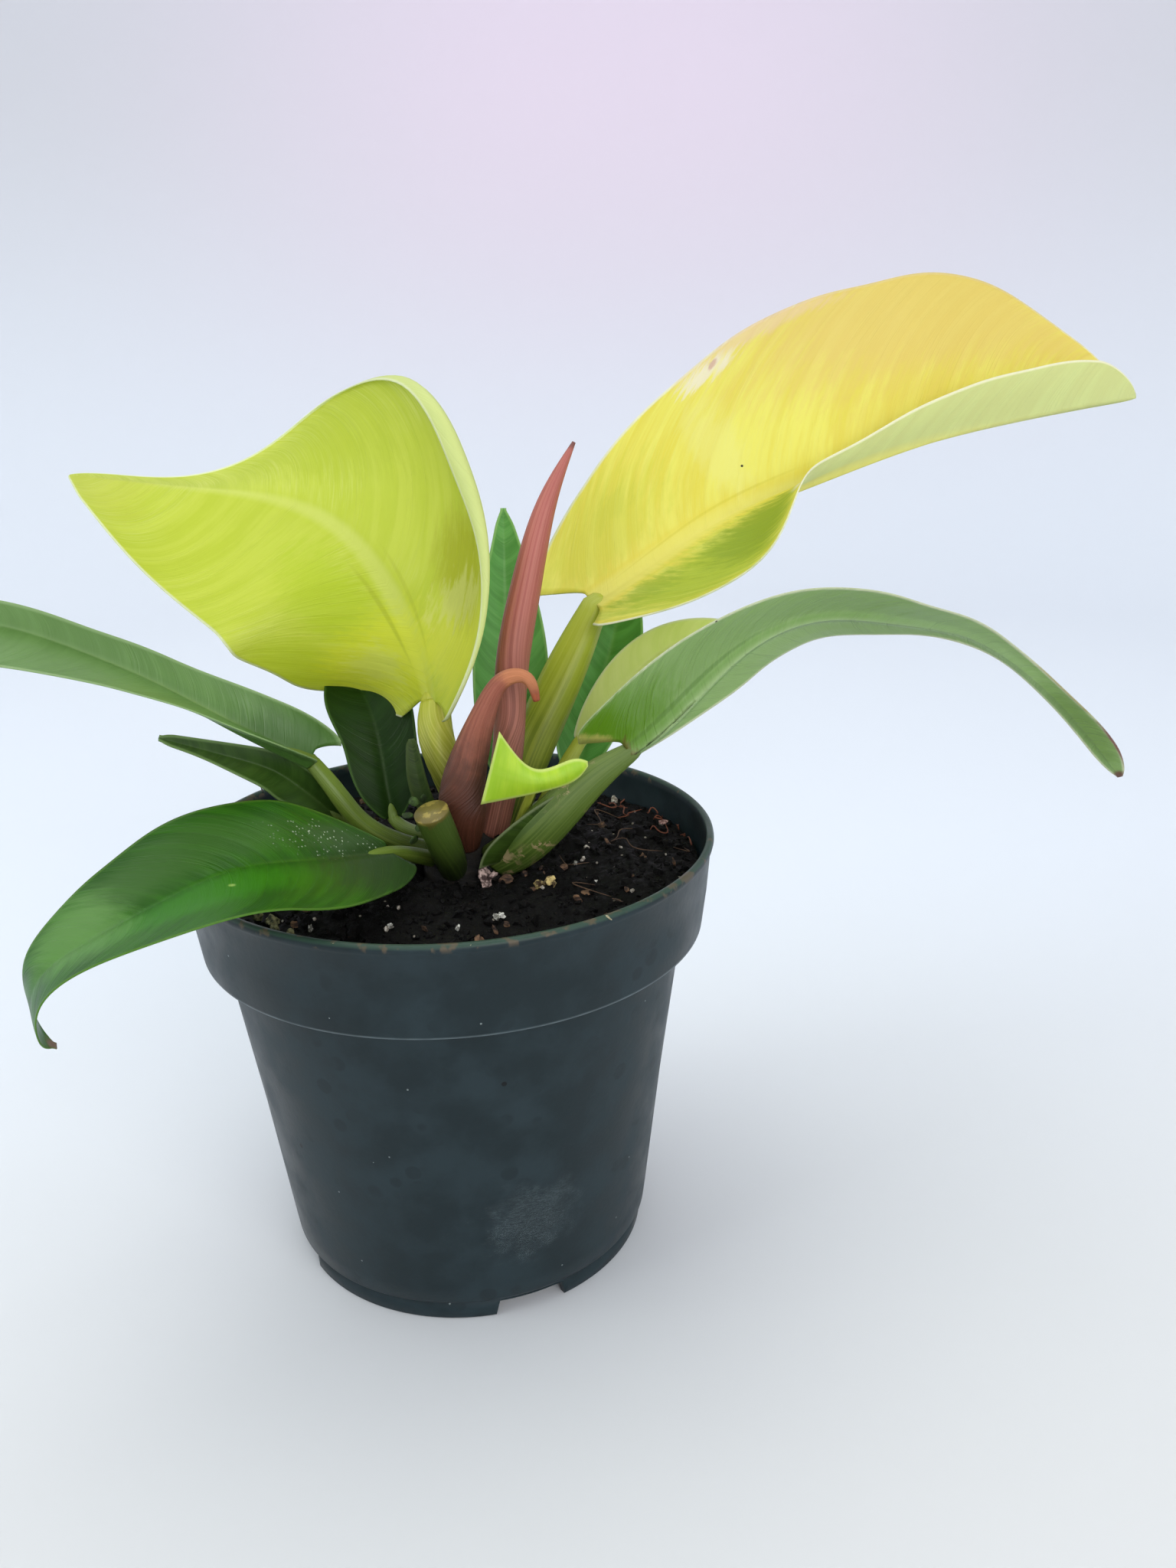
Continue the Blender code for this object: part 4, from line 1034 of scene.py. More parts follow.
tall_lime = dict(
    midrib=[(-3, 8, 116.5), (-6, 11, 131), (-16, 19, 148), (-32, 30, 156), (-52, 38, 158.5),
            (-76, 43, 161.3)],
    faces=[(-0.7, -0.5, 0.4), (-0.4, -0.8, 0.4), (-0.5, -0.7, 0.5), (-0.1, -0.6, 0.8)],
    wide_left=[21, 29.5, 31.2, 33.5, 34, 32.5, 30.5, 27, 21.5, 14, 4],
    wide_right=[16, 26, 31, 32.6, 33.8, 27.6, 22.2, 13.8, 8, 5.2, 3.5],
    lift_left=[-18, -5, 5, 5, 30],
    lift_right=[10, 10, -15, -50, -30],
    curl_left=[30, 30, 20, 10],
    curl_right=[40, 40, 20, 0],
    lobe_left=3.5,
    lobe_right=3,
    strip_right=[0.5, 0.8, 2.2, 3.6, 2.4, 0.8, 0.4, 0.4, 0.4, 0.4, 0.4],
    roll_right=[150, 170, 120, 30, 0],
)
lime_finish = leaf_material(
    "lime_leaf_finish",
    [(214, 225, 80), (206, 219, 66), (226, 234, 122), (244, 249, 208), (236, 245, 182)],
    rib_width=3.2, veins=0.1, sheen_streaks=0.8, shine=(0.38, 0.5), glow=0.35, relief=0.3, dots=0.008,
    tint_patches=[
        ((196, 217, 40), (0.3, -0.35), (0.24, 0.34), 1.2, 0.6, UPPER),
        ((196, 214, 46), (0.22, -0.85), (0.16, 0.26), 1.2, 0.5, UPPER),
        ((193, 208, 52), (0.52, 0.6), (0.2, 0.5), 1.2, 0.6, UPPER),
        # Painted light: a brighter patch near the base, making up for the shade there.
        ((236, 240, 62), (0.1, -0.3), (0.15, 0.75), 0.9, 0.8, UPPER),
        ((232, 238, 150), (0.1, -0.45), (0.08, 0.3), 2.2, 0.35, UPPER),
        # Painted light: a brighter patch on the other side of the base, for the same shade.
        ((232, 234, 80), (0.1, 0.5), (0.12, 0.5), 0.9, 0.7, UPPER),
        ((184, 190, 34), (0.19, 0.6), (0.1, 0.34), 0.8, 0.85, UPPER),
        # Painted highlights: ragged pale lines on the wrinkles.
        ((234, 236, 150), (0.155, 0.5), (0.04, 0.4), 3.4, 0.45, UPPER),
        ((180, 190, 44), (0.2, -0.11), (0.16, 0.025), 0.5, 0.45, UPPER),
        ((180, 190, 44), (0.2, 0.11), (0.14, 0.02), 0.5, 0.3, UPPER),
        ((206, 212, 70), (0.93, -0.3), (0.14, 0.9), 1.0, 0.5, UPPER),
    ],
)
lime_blade = blade_body("lime_blade", tall_lime, lime_finish, ridge=2.0, wave=0.35)
dress(lime_blade, "lime_leaf", "blade_tall_lime")

JOIN_GAP = 0.35
GROOVE_START = 0.6
RUN_ON_PARTS = 60
RUN_ON_SHARES = np.array([0.35, 0.7, 1.0])
RUN_ON_DROP = np.array([0.75, 0.85, 0.9])
RUN_ON_THICK = np.array([0.9, 0.7, 0.3])


def stem_body(name, points, widths, material, leaf=None, sides=24, rows=48, flat=1.0,
              wide_way=(0, 0, 1), groove=0.0, sunk=1.4, into=5.0):
    """Solid stalk along a smooth line; widths are radii, flat thins it across wide_way.

    It starts sunk into the crown's dome, and under its leaf it runs on into
    the midrib's ridge for into sixtieths of the midrib, growing thinner.
    groove presses a shallow channel into the side that faces the way the
    leaf's upper face does. The pattern map runs round in x and along in y, in
    tenths of a metre; place holds the share along and the sine and cosine of
    the way round.
    """
    at = np.linspace(0, 1, rows)
    points = [np.array(point, float) for point in points]
    dome = np.array([CROWN_X, CROWN_Y, CROWN_Z])
    points[0] = points[0] - unit(points[0] - dome) * sunk
    end_width = widths[-1]
    wide_way = np.asarray(wide_way, float)
    up = np.array([0, -0.3, 1.0])
    if leaf:
        start = along(leaf["midrib"], [0.0, 0.01])
        leaf_ahead = unit(start[1] - start[0])
        facing = np.asarray(leaf["faces"][0], float)
        up = unit(facing - leaf_ahead * (facing @ leaf_ahead))
        points.append(start[0] - leaf_ahead * JOIN_GAP - up * end_width * 0.6)
    line = along(points, at)
    thick = smooth_line(widths, at)
    if leaf:
        fine = along(leaf["midrib"], RUN_ON_SHARES * into / RUN_ON_PARTS)
        drop = up[None] * (end_width * RUN_ON_DROP + 0.1)[:, None]
        line = np.vstack([line, fine - drop + up * end_width * 0.2])
        thick = np.concatenate([thick, end_width * RUN_ON_THICK])
    ahead = directions(line)
    wide = unit(wide_way[None] - ahead * (ahead @ wide_way)[:, None])
    thin = np.cross(ahead, wide)
    angle = np.linspace(0, 2 * pi, sides, endpoint=False)
    thin_part = thin[:, None] * np.sin(angle)[None, :, None] * flat
    ring = wide[:, None] * np.cos(angle)[None, :, None] + thin_part
    toward = (unit(ring) * up).sum(axis=-1)
    dent = 1 - groove * np.clip((toward - GROOVE_START) / (1 - GROOVE_START), 0, 1) ** 2
    rings = line[:, None] + ring * (thick[:, None] * dent)[..., None]
    run = np.concatenate([[0], np.cumsum(np.linalg.norm(np.diff(line, axis=0), axis=1))])
    total = len(line)
    uv = np.zeros((total, sides + 1, 2))
    uv[..., 0] = np.linspace(0, 1, sides + 1)
    uv[..., 1] = run[:, None] / 100
    place = np.zeros((total, sides, 3))
    place[..., 0] = (run / run[-1])[:, None]
    place[..., 1] = np.sin(angle)
    place[..., 2] = np.cos(angle)
    return ring_body(name, rings, material, uv, {"place": place})


# Stem skin: streaks along the stalk, from a base colour to a top colour.
stem_skin, given, wanted = new_group(
    "stem_skin",
    {
        "Base": paint(120, 130, 60), "Top": paint(190, 200, 90), "Streak": paint(210, 215, 130),
        "Streaks": 0.5,
    },
    {"Colour": "NodeSocketColor", "Height": "NodeSocketFloat"},
)
tree = stem_skin
pattern = put(tree, "ShaderNodeUVMap", uv_map="pattern").outputs[0]
spot = put(tree, "ShaderNodeAttribute", attribute_name="place").outputs["Vector"]
spot = put(tree, "ShaderNodeSeparateXYZ", {0: spot}).outputs
whorl = put(tree, "ShaderNodeCombineXYZ", {0: spot[1], 1: spot[2], 2: spot[0]}).outputs[0]
streak = noise(tree, stretched(tree, whorl, 1, 1, 0.12), 9.0, 4, 0.6)
cloud = noise(tree, own_place(tree), 120, 3)
rise = calc(tree, "ADD", spot[0], times(tree, calc(tree, "SUBTRACT", cloud, 0.5), 0.4))
colour = mixed(tree, stepped(tree, rise, 0.05, 0.85), given["Base"], given["Top"])
streak_mask = times(tree, stepped(tree, streak, 0.42, 0.66), given["Streaks"])
colour = mixed(tree, streak_mask, colour, given["Streak"])
tree.links.new(colour, wanted["Colour"])
tree.links.new(calc(tree, "ADD", streak, times(tree, cloud, 0.5)), wanted["Height"])


SCAR_COLOUR = paint(170, 150, 110)


def stem_material(name, base, top, streak, streaks=0.5, shine=0.42, scars=0.0, tint_patches=(), relief=0.25):
    """Stalk finish: the stem skin, stains in shares along and round, and corky scars."""
    material, tree, shader = new_material(name, shine)
    skin = put(tree, "ShaderNodeGroup", node_tree=stem_skin)
    for key, value in (("Base", base), ("Top", top), ("Streak", streak)):
        skin.inputs[key].default_value = paint(*value)
    skin.inputs["Streaks"].default_value = streaks
    colour = skin.outputs["Colour"]
    place = own_place(tree)
    spot = put(tree, "ShaderNodeAttribute", attribute_name="place").outputs["Vector"]
    for tint, middle, spread, ragged, strength in tint_patches:
        mask = patch(tree, spot, middle, spread, ragged, noise(tree, place, 400, 5))
        colour = mixed(tree, times(tree, mask, strength), colour, paint(*tint))
    if scars:
        flecks = noise(tree, place, 520, 4, 0.65, 0.6)
        wide = noise(tree, place, 110, 2)
        mask = times(tree, stepped(tree, flecks, 0.54, 0.6), stepped(tree, wide, 0.5, 0.62))
        colour = mixed(tree, times(tree, mask, scars), colour, SCAR_COLOUR)
    tree.links.new(colour, shader.inputs["Base Color"])
    bumped(tree, shader, skin.outputs["Height"], relief, 0.5)
    return material


pale_stalk = stem_material("pale_stalk", (106, 118, 34), (188, 200, 66), (200, 210, 100))
lime_stalk_finish = stem_material(
    "lime_stalk_finish", (88, 96, 24), (174, 178, 48), (216, 214, 110),
)
dress(stem_body(
    "lime_stalk",
    [on_crown(108, 66), (1, 3, 100), (-1, 4, 106), (-2, 6, 111.5)],
    [3.6, 3.5, 3.6, 3.7, 3.2], lime_stalk_finish, tall_lime, groove=0.25, into=1.2,
), "pale_stem", "petiole_tall_lime")


# Golden leaf
# The largest blade, on the right: yellow with a golden far half, green near
# its base, and with its far lower half folded up to show a light under face.

golden = dict(
    midrib=[(32, 11.5, 135), (48, 15, 144), (65, 19, 152), (92, 23, 160), (120, 27, 166), (156, 31, 171)],
    faces=[(-0.3, -0.6, 0.7), (0, -0.6, 0.7), (-0.1, -0.6, 0.6), (0, -0.5, 0.8)],
    wide_left=[19, 27.8, 35, 35.6, 29.7, 4],
    wide_right=[14, 21, 25, 23, 11, 8.6, 10, 11.2, 11.2, 10, 7],
    lift_left=[-10, 10, 25, 25, 25],
    lift_right=[20, 30, 85, 105, 125],
    curl_left=[10, 10, 10, 10],
    curl_right=[20, 20, 20, 20],
    lobe_left=8.5,
    lobe_right=4,
)
golden_finish = leaf_material(
    "golden_leaf_finish",
    [(250, 242, 118), (243, 229, 92), (246, 240, 130), (252, 252, 226), (206, 230, 186)],
    rib_width=3.6, veins=0.12, sheen_streaks=0.5, shine=(0.42, 0.54), glow=0.35, relief=0.3, dots=0.008,
    tint_patches=[
        ((242, 214, 122), (0.68, -0.8), (0.42, 0.62), 0.8, 0.8, UPPER),
        ((242, 222, 104), (0.62, -0.2), (0.2, 0.3), 1.5, 0.4, UPPER),
        ((250, 244, 150), (0.3, -0.45), (0.05, 0.5), 1.4, 0.5, UPPER),
        ((180, 200, 50), (0.18, 0.6), (0.26, 0.56), 0.9, 0.9, UPPER),
        ((148, 172, 34), (0.26, 0.52), (0.13, 0.46), 1.2, 0.8, UPPER),
        ((158, 184, 44), (0.08, 0.4), (0.08, 0.2), 2.0, 0.5, UPPER),
        ((226, 224, 80), (0.1, -0.6), (0.16, 0.5), 1.6, 0.5, UPPER),
        ((206, 212, 74), (0.13, -0.66), (0.05, 0.16), 3.0, 0.25, UPPER),
        ((226, 224, 80), (0.22, 0.17), (0.24, 0.03), 0.6, 0.5, UPPER),
        ((226, 214, 70), (0.22, -0.1), (0.24, 0.015), 0.6, 0.4, UPPER),
        ((246, 216, 186), (0.42, -0.97), (0.16, 0.07), 1.4, 0.6, UPPER),
        ((248, 242, 226), (0.335, -0.92), (0.055, 0.08), 2.6, 0.8, BOTH),
        ((206, 150, 132), (0.345, -0.94), (0.01, 0.03), 3.0, 0.55, BOTH),
        ((244, 234, 214), (0.36, 0.75), (0.026, 0.4), 2.4, 0.8, UPPER),
    ],
)
golden_blade = blade_body("golden_blade", golden, golden_finish, rows=130, ridge=2.0, wave=0.3)
dress(golden_blade, "golden_leaf", "blade_golden")
olive_stalk = stem_material(
    "olive_stalk", (76, 102, 22), (160, 170, 40), (176, 184, 74), streaks=0.45,
)
dress(stem_body(
    "golden_stalk",
    [on_crown(33, 40), (15, 4.5, 100), (19, 5.5, 109), (24, 7.5, 119)],
    [4.2, 4.4, 4.5, 4.2, 2.9], olive_stalk, golden, groove=0.25, into=1.4,
), "pale_stem", "petiole_golden")


# Arching green leaf
# An older leaf on the right, seen from its grey-green under side: a broad pale
# midrib stands proud of it, and its tip is notched and brown.

arching = dict(
    midrib=[
        (35, -14, 111), (44, -14, 118), (58, -12, 130), (74, -10, 135),
        (90, -9, 133), (107, -9, 128), (125, -9, 114), (140, -9, 97),
    ],
    faces=[(-0.1, 0.9, 0.2), (0, 0.65, 0.7), (0.2, 0.6, 0.75), (0.5, 0.7, 0.5)],
    wide_left=[2, 4.5, 8, 9, 8, 5.5, 3, 2, 2, 2, 2],
    wide_right=[19, 19, 17, 14, 11.5, 9.5, 6, 3.6, 3.4, 4, 3],
    lift_left=[-10, -10, -10, -10, 0],
    lift_right=[-24, -10, -5, -5, 0],
    lobe_right=6,
)
arching_finish = leaf_material(
    "arching_leaf_finish",
    [(132, 174, 84), (112, 156, 66), (180, 206, 146), (206, 214, 176), (146, 180, 110)],
    rib_width=1.5, veins=0.2, sheen_streaks=0.7, shine=(0.28, 0.4), glow=0.2, relief=0.5, dots=0.01, gloss=0.55,
    tint_patches=[
        ((126, 166, 76), (0.3, 0.6), (0.5, 0.55), 0.9, 0.6, UNDER),
        ((152, 184, 128), (0.6, 0.3), (0.2, 0.9), 0.9, 0.5, UNDER),
        ((138, 170, 104), (0.4, -0.6), (0.4, 0.5), 0.9, 0.6, UNDER),
        ((98, 148, 10), (0.03, 0.6), (0.13, 0.8), 0.8, 0.9, UNDER),
        ((74, 118, 20), (0.12, 0.16), (0.22, 0.05), 0.8, 0.5, UNDER),
        ((86, 124, 52), (0.42, -0.06), (0.3, 0.05), 0.6, 0.6, UNDER),
        ((108, 144, 60), (0.88, 0.2), (0.14, 1.2), 0.6, 0.8, UNDER),
        ((206, 196, 110), (0.0, 0.8), (0.012, 0.4), 1.5, 0.7, BOTH),
        ((120, 84, 52), (0.0, 0.1), (0.014, 0.4), 3.0, 0.6, BOTH),
        ((168, 152, 96), (0.8, 1.0), (0.1, 0.1), 0.6, 0.7, BOTH),
        ((120, 66, 62), (0.93, 1.0), (0.07, 0.16), 0.6, 0.9, BOTH),
        ((104, 58, 44), (1.0, 0.0), (0.018, 1.5), 0.8, 0.95, BOTH),
    ],
)
dress(blade_body("arching_blade", arching, arching_finish, wave=0.25), "green_leaf", "blade_arching")
scarred_stalk = stem_material(
    "scarred_stalk", (62, 86, 26), (88, 112, 40), (112, 132, 60), streaks=0.5, scars=0.9,
)
dress(stem_body(
    "arching_stalk",
    [on_crown(-60, 22), (16, -13.5, 94), (26, -14.5, 104)],
    [4.3, 4.6, 3.9, 2.1], scarred_stalk, arching, flat=0.6, wide_way=(-0.7, 0.0, 0.7), into=1.2,
), "green_stem", "petiole_arching")

# The thin wing along the stalk's front, a sheet between a low and a high line.
WING_LOW = [(10.5, -11.5, 88.5), (14, -12.6, 92), (18.5, -13.6, 97), (23, -14.6, 101.5), (25.5, -15, 103.4)]
WING_HIGH = [(5, -14.6, 88.2), (7.5, -15.3, 93.5), (15.1, -16, 100), (21, -16, 103.4), (24.4, -15.8, 104.8)]
wing_finish = leaf_material(
    "stalk_wing_finish",
    [(58, 84, 24), (44, 66, 16), (80, 106, 36), (112, 126, 84), (58, 84, 24)],
    rib_width=0.1, veins=0.1, sheen_streaks=0.3, glow=0.15, shine=(0.4, 0.5), gloss=0.3,
)
wing = sheet_body("arching_stalk_wing", WING_LOW, WING_HIGH, wing_finish, thick=0.4, bulge=0.8)
dress(wing, "green_stem")


# Leaf behind the arching one
# A smaller, thin, yellow-green leaf that shows as a pale strip above the
# arching one. It grows on a stalk of its own.

SMALL_BLADE = dict(rows=70, columns=16, ridge=0.8)

behind = dict(
    midrib=[(27, 2, 108.5), (35, 4, 117), (43, 5.5, 124), (51, 7, 127.5), (60, 8, 128), (69, 9, 125)],
    faces=[(-0.5, -0.4, 0.75), (-0.3, -0.4, 0.85), (0, -0.4, 0.9)],
    wide_left=[2, 5, 6, 5, 3, 1],
    wide_right=[4, 8, 9, 7, 5, 1],
    lift=[20, 20, 20],
)
# Its colours are pushed nearly to white: painted light that makes up for the shade it stands in.
behind_finish = leaf_material(
    "behind_leaf_finish",
    [(246, 252, 178), (238, 247, 160), (246, 250, 190), (246, 250, 210), (244, 250, 176)],
    rib_width=1.4, veins=0.05, sheen_streaks=0.2, glow=0.5,
)
behind_blade = blade_body("behind_blade", behind, behind_finish, **SMALL_BLADE)
dress(behind_blade, "lime_leaf", "blade_behind_arching")
dress(stem_body(
    "behind_stalk",
    [on_crown(-12, 18), (20, 0, 96), (24.5, 1.3, 103.5)],
    [2.2, 2.0, 1.8, 1.4], pale_stalk, behind, groove=0.2,
), "pale_stem", "petiole_behind_arching")


# Far left leaf
# A long glaucous green leaf reaching out of the picture on the left, with a
# pale midrib band and a rounded, folded base.

far_left = dict(
    midrib=[
        (-26, -6, 110.5), (-39, -11, 120), (-51, -17, 130), (-62, -23, 138),
        (-72, -29, 144), (-84, -36, 147), (-98, -42, 146),
    ],
    faces=[(0.3, -0.5, 0.8), (0.3, -0.4, 0.9), (0.3, -0.7, 0.6), (0, -0.7, 0.7)],
    wide_left=[5, 13, 14, 14, 11, 3],
    wide_right=[8, 7, 5, 4, 4, 2],
    lift_left=[40, 25, 30, 0],
    lift_right=[40, 30, 30, 15],
    curl_left=[20, 10, 10, 10],
    curl_right=[60, 20, 10, 10],
    lobe_right=4,
)
far_left_finish = leaf_material(
    "far_left_leaf_finish",
    [(110, 150, 80), (102, 142, 72), (150, 180, 118), (146, 178, 118), (114, 152, 88)],
    rib_width=1.1, veins=0.05, sheen_streaks=0.12, shine=(0.3, 0.4), glow=0.12, gloss=0.5,
    tint_patches=[
        ((62, 104, 34), (0.04, 0.0), (0.2, 1.3), 0.6, 0.75, BOTH),
        ((112, 150, 100), (0.12, -0.5), (0.08, 0.2), 0.8, 0.5, UPPER),
    ],
)
green_stalk = stem_material(
    "green_stalk", (60, 80, 22), (100, 124, 40), (122, 140, 58), streaks=0.4,
)
dress(blade_body("far_left_blade", far_left, far_left_finish, wave=0.2), "green_leaf", "blade_far_left")
dress(stem_body(
    "far_left_stalk",
    [on_crown(178, 20), (-12, -4, 91.5), (-18, -6, 97), (-22, -6.5, 103.5)],
    [2.1, 2.1, 2.0, 1.9, 1.5], green_stalk, far_left, groove=0.25,
), "green_stem", "petiole_far_left")


# Low left leaf
# A glossy dark green leaf lying over the front left of the rim; its tip hooks
# down and shows the paler under side. Dry white dust lies near its base.

low_left = dict(
    midrib=[
        (-12, -14, 93.5), (-25, -27, 98), (-38, -37, 101), (-49, -47, 100),
        (-60, -55, 97), (-67, -58.9, 92), (-68, -58.9, 84), (-66, -57, 80),
    ],
    faces=[(0.1, -0.4, 0.9), (0.1, -0.2, 1), (-0.2, -0.2, 1), (-0.9, -0.3, 0.1)],
    wide_left=[9, 15, 20, 20, 10, 1],
    wide_right=[3, 13, 16, 14, 9, 1],
    lift_left=[0, 0, 10, 10, -10],
    lift_right=[15, 20, 10, 10, -10],
    lobe_left=2,
)
low_left_finish = leaf_material(
    "low_left_leaf_finish",
    [(50, 106, 18), (38, 88, 14), (84, 140, 34), (80, 124, 40), (104, 146, 92)],
    rib_width=0.45, veins=0.06, sheen_streaks=0.12, shine=(0.3, 0.4), glow=0.08, relief=0.3, gloss=0.22,
    tint_patches=[
        # Painted sheen: a soft grey-green over the upper half.
        ((72, 112, 50), (0.5, 0.5), (0.4, 0.5), 0.7, 0.6, UPPER),
        ((58, 132, 18), (0.52, -0.3), (0.36, 0.4), 0.8, 0.75, UPPER),
        ((46, 70, 34), (0.02, -0.3), (0.3, 1.7), 0.8, 0.9, UPPER),
        ((70, 100, 60), (0.14, 0.4), (0.12, 0.4), 1.6, 0.5, UPPER),
        ((112, 160, 84), (0.74, 0.2), (0.14, 1.2), 0.8, 0.6, UPPER),
        ((160, 196, 96), (0.46, -0.3), (0.01, 0.04), 0.5, 0.9, UPPER),
        ((150, 120, 112), (1.0, 0.0), (0.04, 1.4), 0.8, 0.9, BOTH),
    ],
    dust=((0.14, 0.4), (0.17, 0.5)),
)
dress(blade_body("low_left_blade", low_left, low_left_finish, wave=0.3), "green_leaf", "blade_low_left")
dress(stem_body(
    "low_left_stalk",
    [on_crown(-155, 20), (-8.8, -9.8, 90.6)],
    [1.7, 1.6, 1.3], green_stalk, low_left, groove=0.2,
), "green_stem", "petiole_low_left")


# Darker leaves on the left
# A narrow folded leaf under the far left one, and a dark upright leaf that
# rises behind the tall lime leaf. Both are older and nearly black green.


def small_leaf(name, node, leaf, finish, slot, foot, top, widths):
    """A small blade and its short stalk; foot is the stalk's two angles on the crown."""
    dress(blade_body(name + "_blade", leaf, finish, **SMALL_BLADE), slot, "blade_" + node)
    stalk = stem_body(name + "_stalk", [on_crown(*foot), top], widths, green_stalk, leaf)
    dress(stalk, "green_stem", "petiole_" + node)


folded = dict(
    midrib=[(-22, 0, 95), (-27, -2, 101), (-32, -4, 106.5), (-37, -6, 110), (-44, -8.5, 113.5),
            (-53, -12, 118)],
    faces=[(-0.3, -0.7, 0.6), (-0.3, -0.7, 0.6)],
    wide_left=[2, 4, 5, 4, 2, 1],
    wide_right=[2, 4, 4, 3, 2, 1],
    lift_left=[20, 20],
    lift_right=[30, 30],
)
folded_finish = leaf_material(
    "folded_leaf_finish",
    [(60, 92, 32), (48, 78, 24), (90, 120, 54), (110, 140, 80), (66, 98, 38)],
    rib_width=0.6, veins=0.0, sheen_streaks=0.1, shine=(0.3, 0.42), glow=0.08, gloss=0.4,
)
dark_left = dict(
    midrib=[(-12, 10.5, 91), (-13, 13, 98), (-14, 17.2, 106), (-16, 21.6, 113), (-19, 27.4, 118),
            (-22, 33, 122)],
    faces=[(0.1, -0.9, 0.3), (0.1, -0.9, 0.4)],
    wide=[3, 7, 8, 9, 7, 1],
    lift=[10, 10],
    curl=[10, 10],
)
dark_finish = leaf_material(
    "dark_leaf_finish",
    [(30, 58, 12), (24, 50, 8), (66, 98, 36), (58, 88, 34), (52, 82, 24)],
    rib_width=0.5, veins=0.0, sheen_streaks=0.05, shine=(0.34, 0.46), glow=0.05, gloss=0.16,
)
small_leaf("folded", "folded_left", folded, folded_finish, "dark_leaf",
           (155, 16), (-14, 2.4, 90), [1.4, 1.3, 1.1])
small_leaf("dark_left", "dark_left", dark_left, dark_finish, "dark_leaf",
           (128, 18), (-8.5, 9, 88.2), [1.7, 1.6, 1.3])


# Rear leaves
# Two mid-green leaves behind the others, one upright and one leaning right.
# Each is a thin plain blade on a short stalk from the back of the crown.

back_upright = dict(
    midrib=[(13.5, 16.5, 93.5), (14, 22, 107), (14.5, 26.5, 121), (15, 31, 136), (15.5, 33, 152)],
    faces=[(0.1, -0.9, 0.3), (0.1, -0.9, 0.3)],
    wide_left=[3, 7, 8, 7, 4, 1],
    wide_right=[3, 7, 9, 8, 5, 1],
    lift=[10, 10],
    curl=[10, 10],
)
back_right = dict(
    midrib=[(27, 13, 96.5), (31, 18, 107), (36, 23, 119), (40, 28, 131), (43, 33, 143)],
    faces=[(-0.1, -0.8, 0.5), (-0.1, -0.8, 0.5)],
    wide=[3, 7, 8, 7, 4, 1],
    lift=[15, 15],
    curl=[10, 10],
)
rear_finish = leaf_material(
    "rear_leaf_finish",
    [(104, 176, 84), (84, 152, 66), (144, 196, 112), (144, 196, 112), (104, 160, 86)],
    rib_width=1.2, veins=0.1, sheen_streaks=0.2, shine=(0.34, 0.46), glow=0.12,
)
small_leaf("rear_upright", "back_upright", back_upright, rear_finish, "green_leaf",
           (85, 22), (9.5, 12.5, 90), [2.0, 1.8, 1.3])
small_leaf("rear_right", "back_right", back_right, rear_finish, "green_leaf",
           (60, 12), (18.5, 11, 90), [1.9, 1.8, 1.3])


# Young leaf
# A small bright swallow-tailed leaf in front of the crown: a thin sheet
# between a low and a high line, on a thread of a stalk.

YOUNG_LOW = [
    (5.9, -19.2, 103.4), (12.5, -18.9, 104.2), (19.4, -18.7, 105.3),
    (24.2, -18.6, 106.9), (26.7, -18.4, 109.5),
]
YOUNG_HIGH = [
    (10.1, -19, 117.6), (12.3, -18.8, 113.9), (16.9, -18.6, 109.6),
    (23.1, -18.6, 111), (26.6, -18.4, 110.5),
]
young_finish = leaf_material(
    "young_leaf_finish",
    [(202, 236, 62), (176, 220, 50), (214, 236, 96), (222, 240, 130), (182, 218, 66)],
    rib_width=0.5, veins=0.05, sheen_streaks=0.15, glow=0.3,
)
dress(sheet_body("young_blade", YOUNG_LOW, YOUNG_HIGH, young_finish, bulge=1.2), "lime_leaf", "blade_young")
dress(stem_body(
    "young_stalk", [on_crown(-32, 30), (14.5, -10, 98), (16, -17.2, 105)], [1.0, 0.9, 0.8],
    pale_stalk, sides=16,
), "pale_stem", "petiole_young")


# Rolled new leaf and its sheath
# The next leaf, still rolled into a dusty red spear, and the brown-red sheath
# it grew from, whose dry orange tip curls over in front of it.

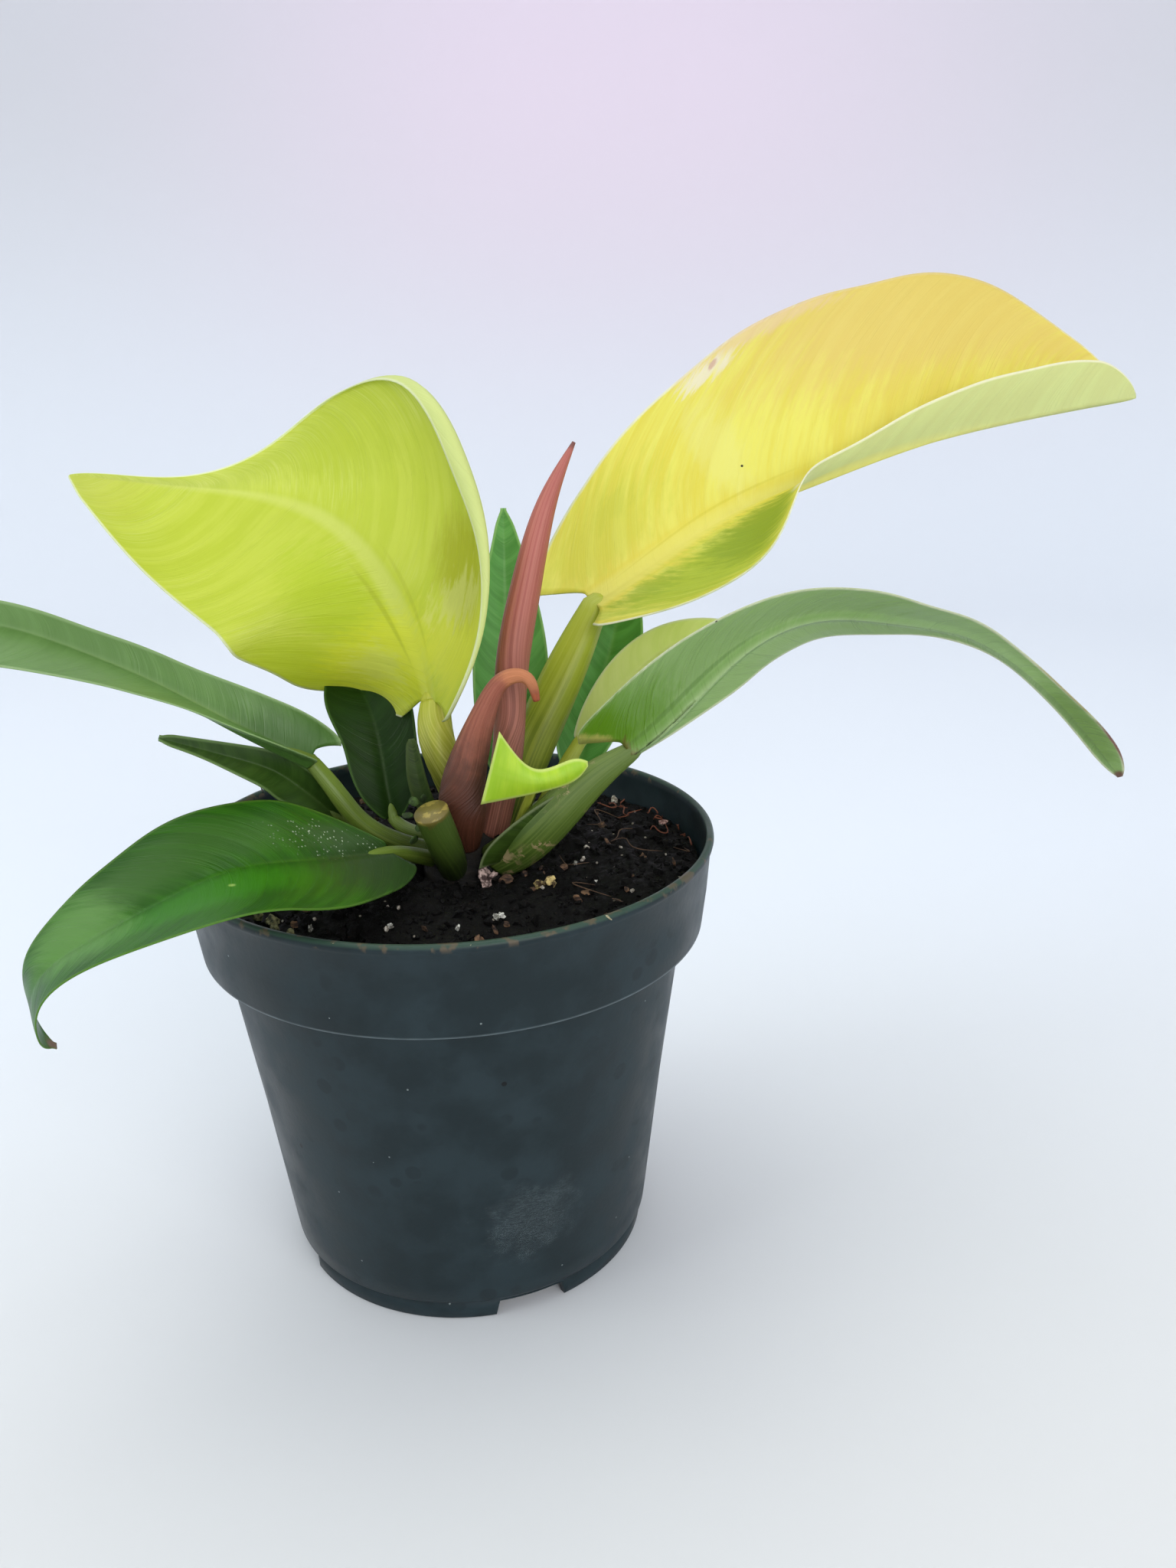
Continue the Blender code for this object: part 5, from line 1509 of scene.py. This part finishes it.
spear_finish = stem_material(
    "spear_skin", (124, 78, 62), (170, 90, 80), (200, 130, 112), streaks=0.5, shine=0.5, relief=0.35,
    tint_patches=[((110, 66, 60), (1.0, 0.0), (0.025, 3.0), 0.5, 0.9)],
)
dress(stem_body(
    "rolled_leaf",
    [on_crown(-31, 60), (11, -4, 102), (12.7, -4, 113), (13.9, -3, 126), (17.2, -2, 141),
     (21.6, -1, 156), (27.6, 0, 168)],
    [3.0, 3.1, 3.2, 3.3, 2.9, 2.0, 0.35], spear_finish, rows=90, sides=32,
), "red_sheath", "new_leaf_spear")
sheath_finish = stem_material(
    "sheath_skin", (84, 48, 30), (156, 84, 64), (176, 108, 82), streaks=0.45, shine=0.5, relief=0.8,
    tint_patches=[
        ((72, 38, 24), (0.2, 0.0), (0.4, 4.0), 0.9, 0.8),
        ((214, 138, 92), (0.88, 0.0), (0.12, 3.0), 0.6, 0.85),
        ((186, 96, 60), (1.0, 0.0), (0.06, 3.0), 0.6, 0.9),
    ],
)
dress(stem_body(
    "curled_sheath",
    [on_crown(-100, 48), (2.6, -10.5, 102), (5, -11, 112), (8, -11.5, 120), (11.5, -12, 125.5),
     (16, -13, 126), (17.7, -13, 121.5)],
    [2.3, 4.5, 4.3, 3.3, 2.2, 1.5, 0.7], sheath_finish, rows=80, sides=32,
), "red_sheath", "new_leaf_sheath")


# Torn sheath
# A dry green-brown scrap of an old sheath beside the tall stalk, thin as
# paper. It is still held at its foot.

torn = dict(
    midrib=[(-2.0, 0.6, 92.1), (-5, 0.2, 98), (-6.2, 0.5, 105), (-6.8, 1, 111)],
    faces=[(-0.2, -0.9, 0.3), (-0.2, -0.9, 0.3)],
    wide_left=[1.5, 2, 2, 1],
    wide_right=[1.5, 2, 1.6, 1],
    lift=[10, 10],
    curl=[20, 20],
)
torn_finish = leaf_material(
    "torn_sheath_skin",
    [(58, 82, 30), (44, 64, 22), (84, 104, 44), (64, 84, 34), (60, 76, 30)],
    rib_width=0.3, veins=0.2, glow=0.1, shine=(0.5, 0.6),
)
scrap = blade_body("torn_scrap", torn, torn_finish, rows=40, columns=10, ridge=0.2, channel=0.0, wave=0.2)
dress(scrap, "green_stem", "torn_sheath")


# Cut stub
# The stump of a leaf stalk that was cut off: a green stem with a dry, corky,
# speckled tan end, low at the front.

stub_finish = stem_material(
    "stub_skin", (20, 32, 8), (62, 84, 26), (76, 96, 36), streaks=0.3,
    tint_patches=[
        ((164, 146, 72), (1.02, 0.0), (0.08, 3.0), 0.4, 0.95),
        ((84, 76, 30), (1.02, 0.0), (0.07, 3.0), 8.0, 0.7),
    ],
)
dress(stem_body(
    "stub", [on_crown(-119, 17), (-1.2, -14.0, 93.0), (-3.6, -17.2, 101.9)], [2.9, 3.3, 3.4],
    stub_finish, sides=32,
), "brown_stem", "cut_stub")
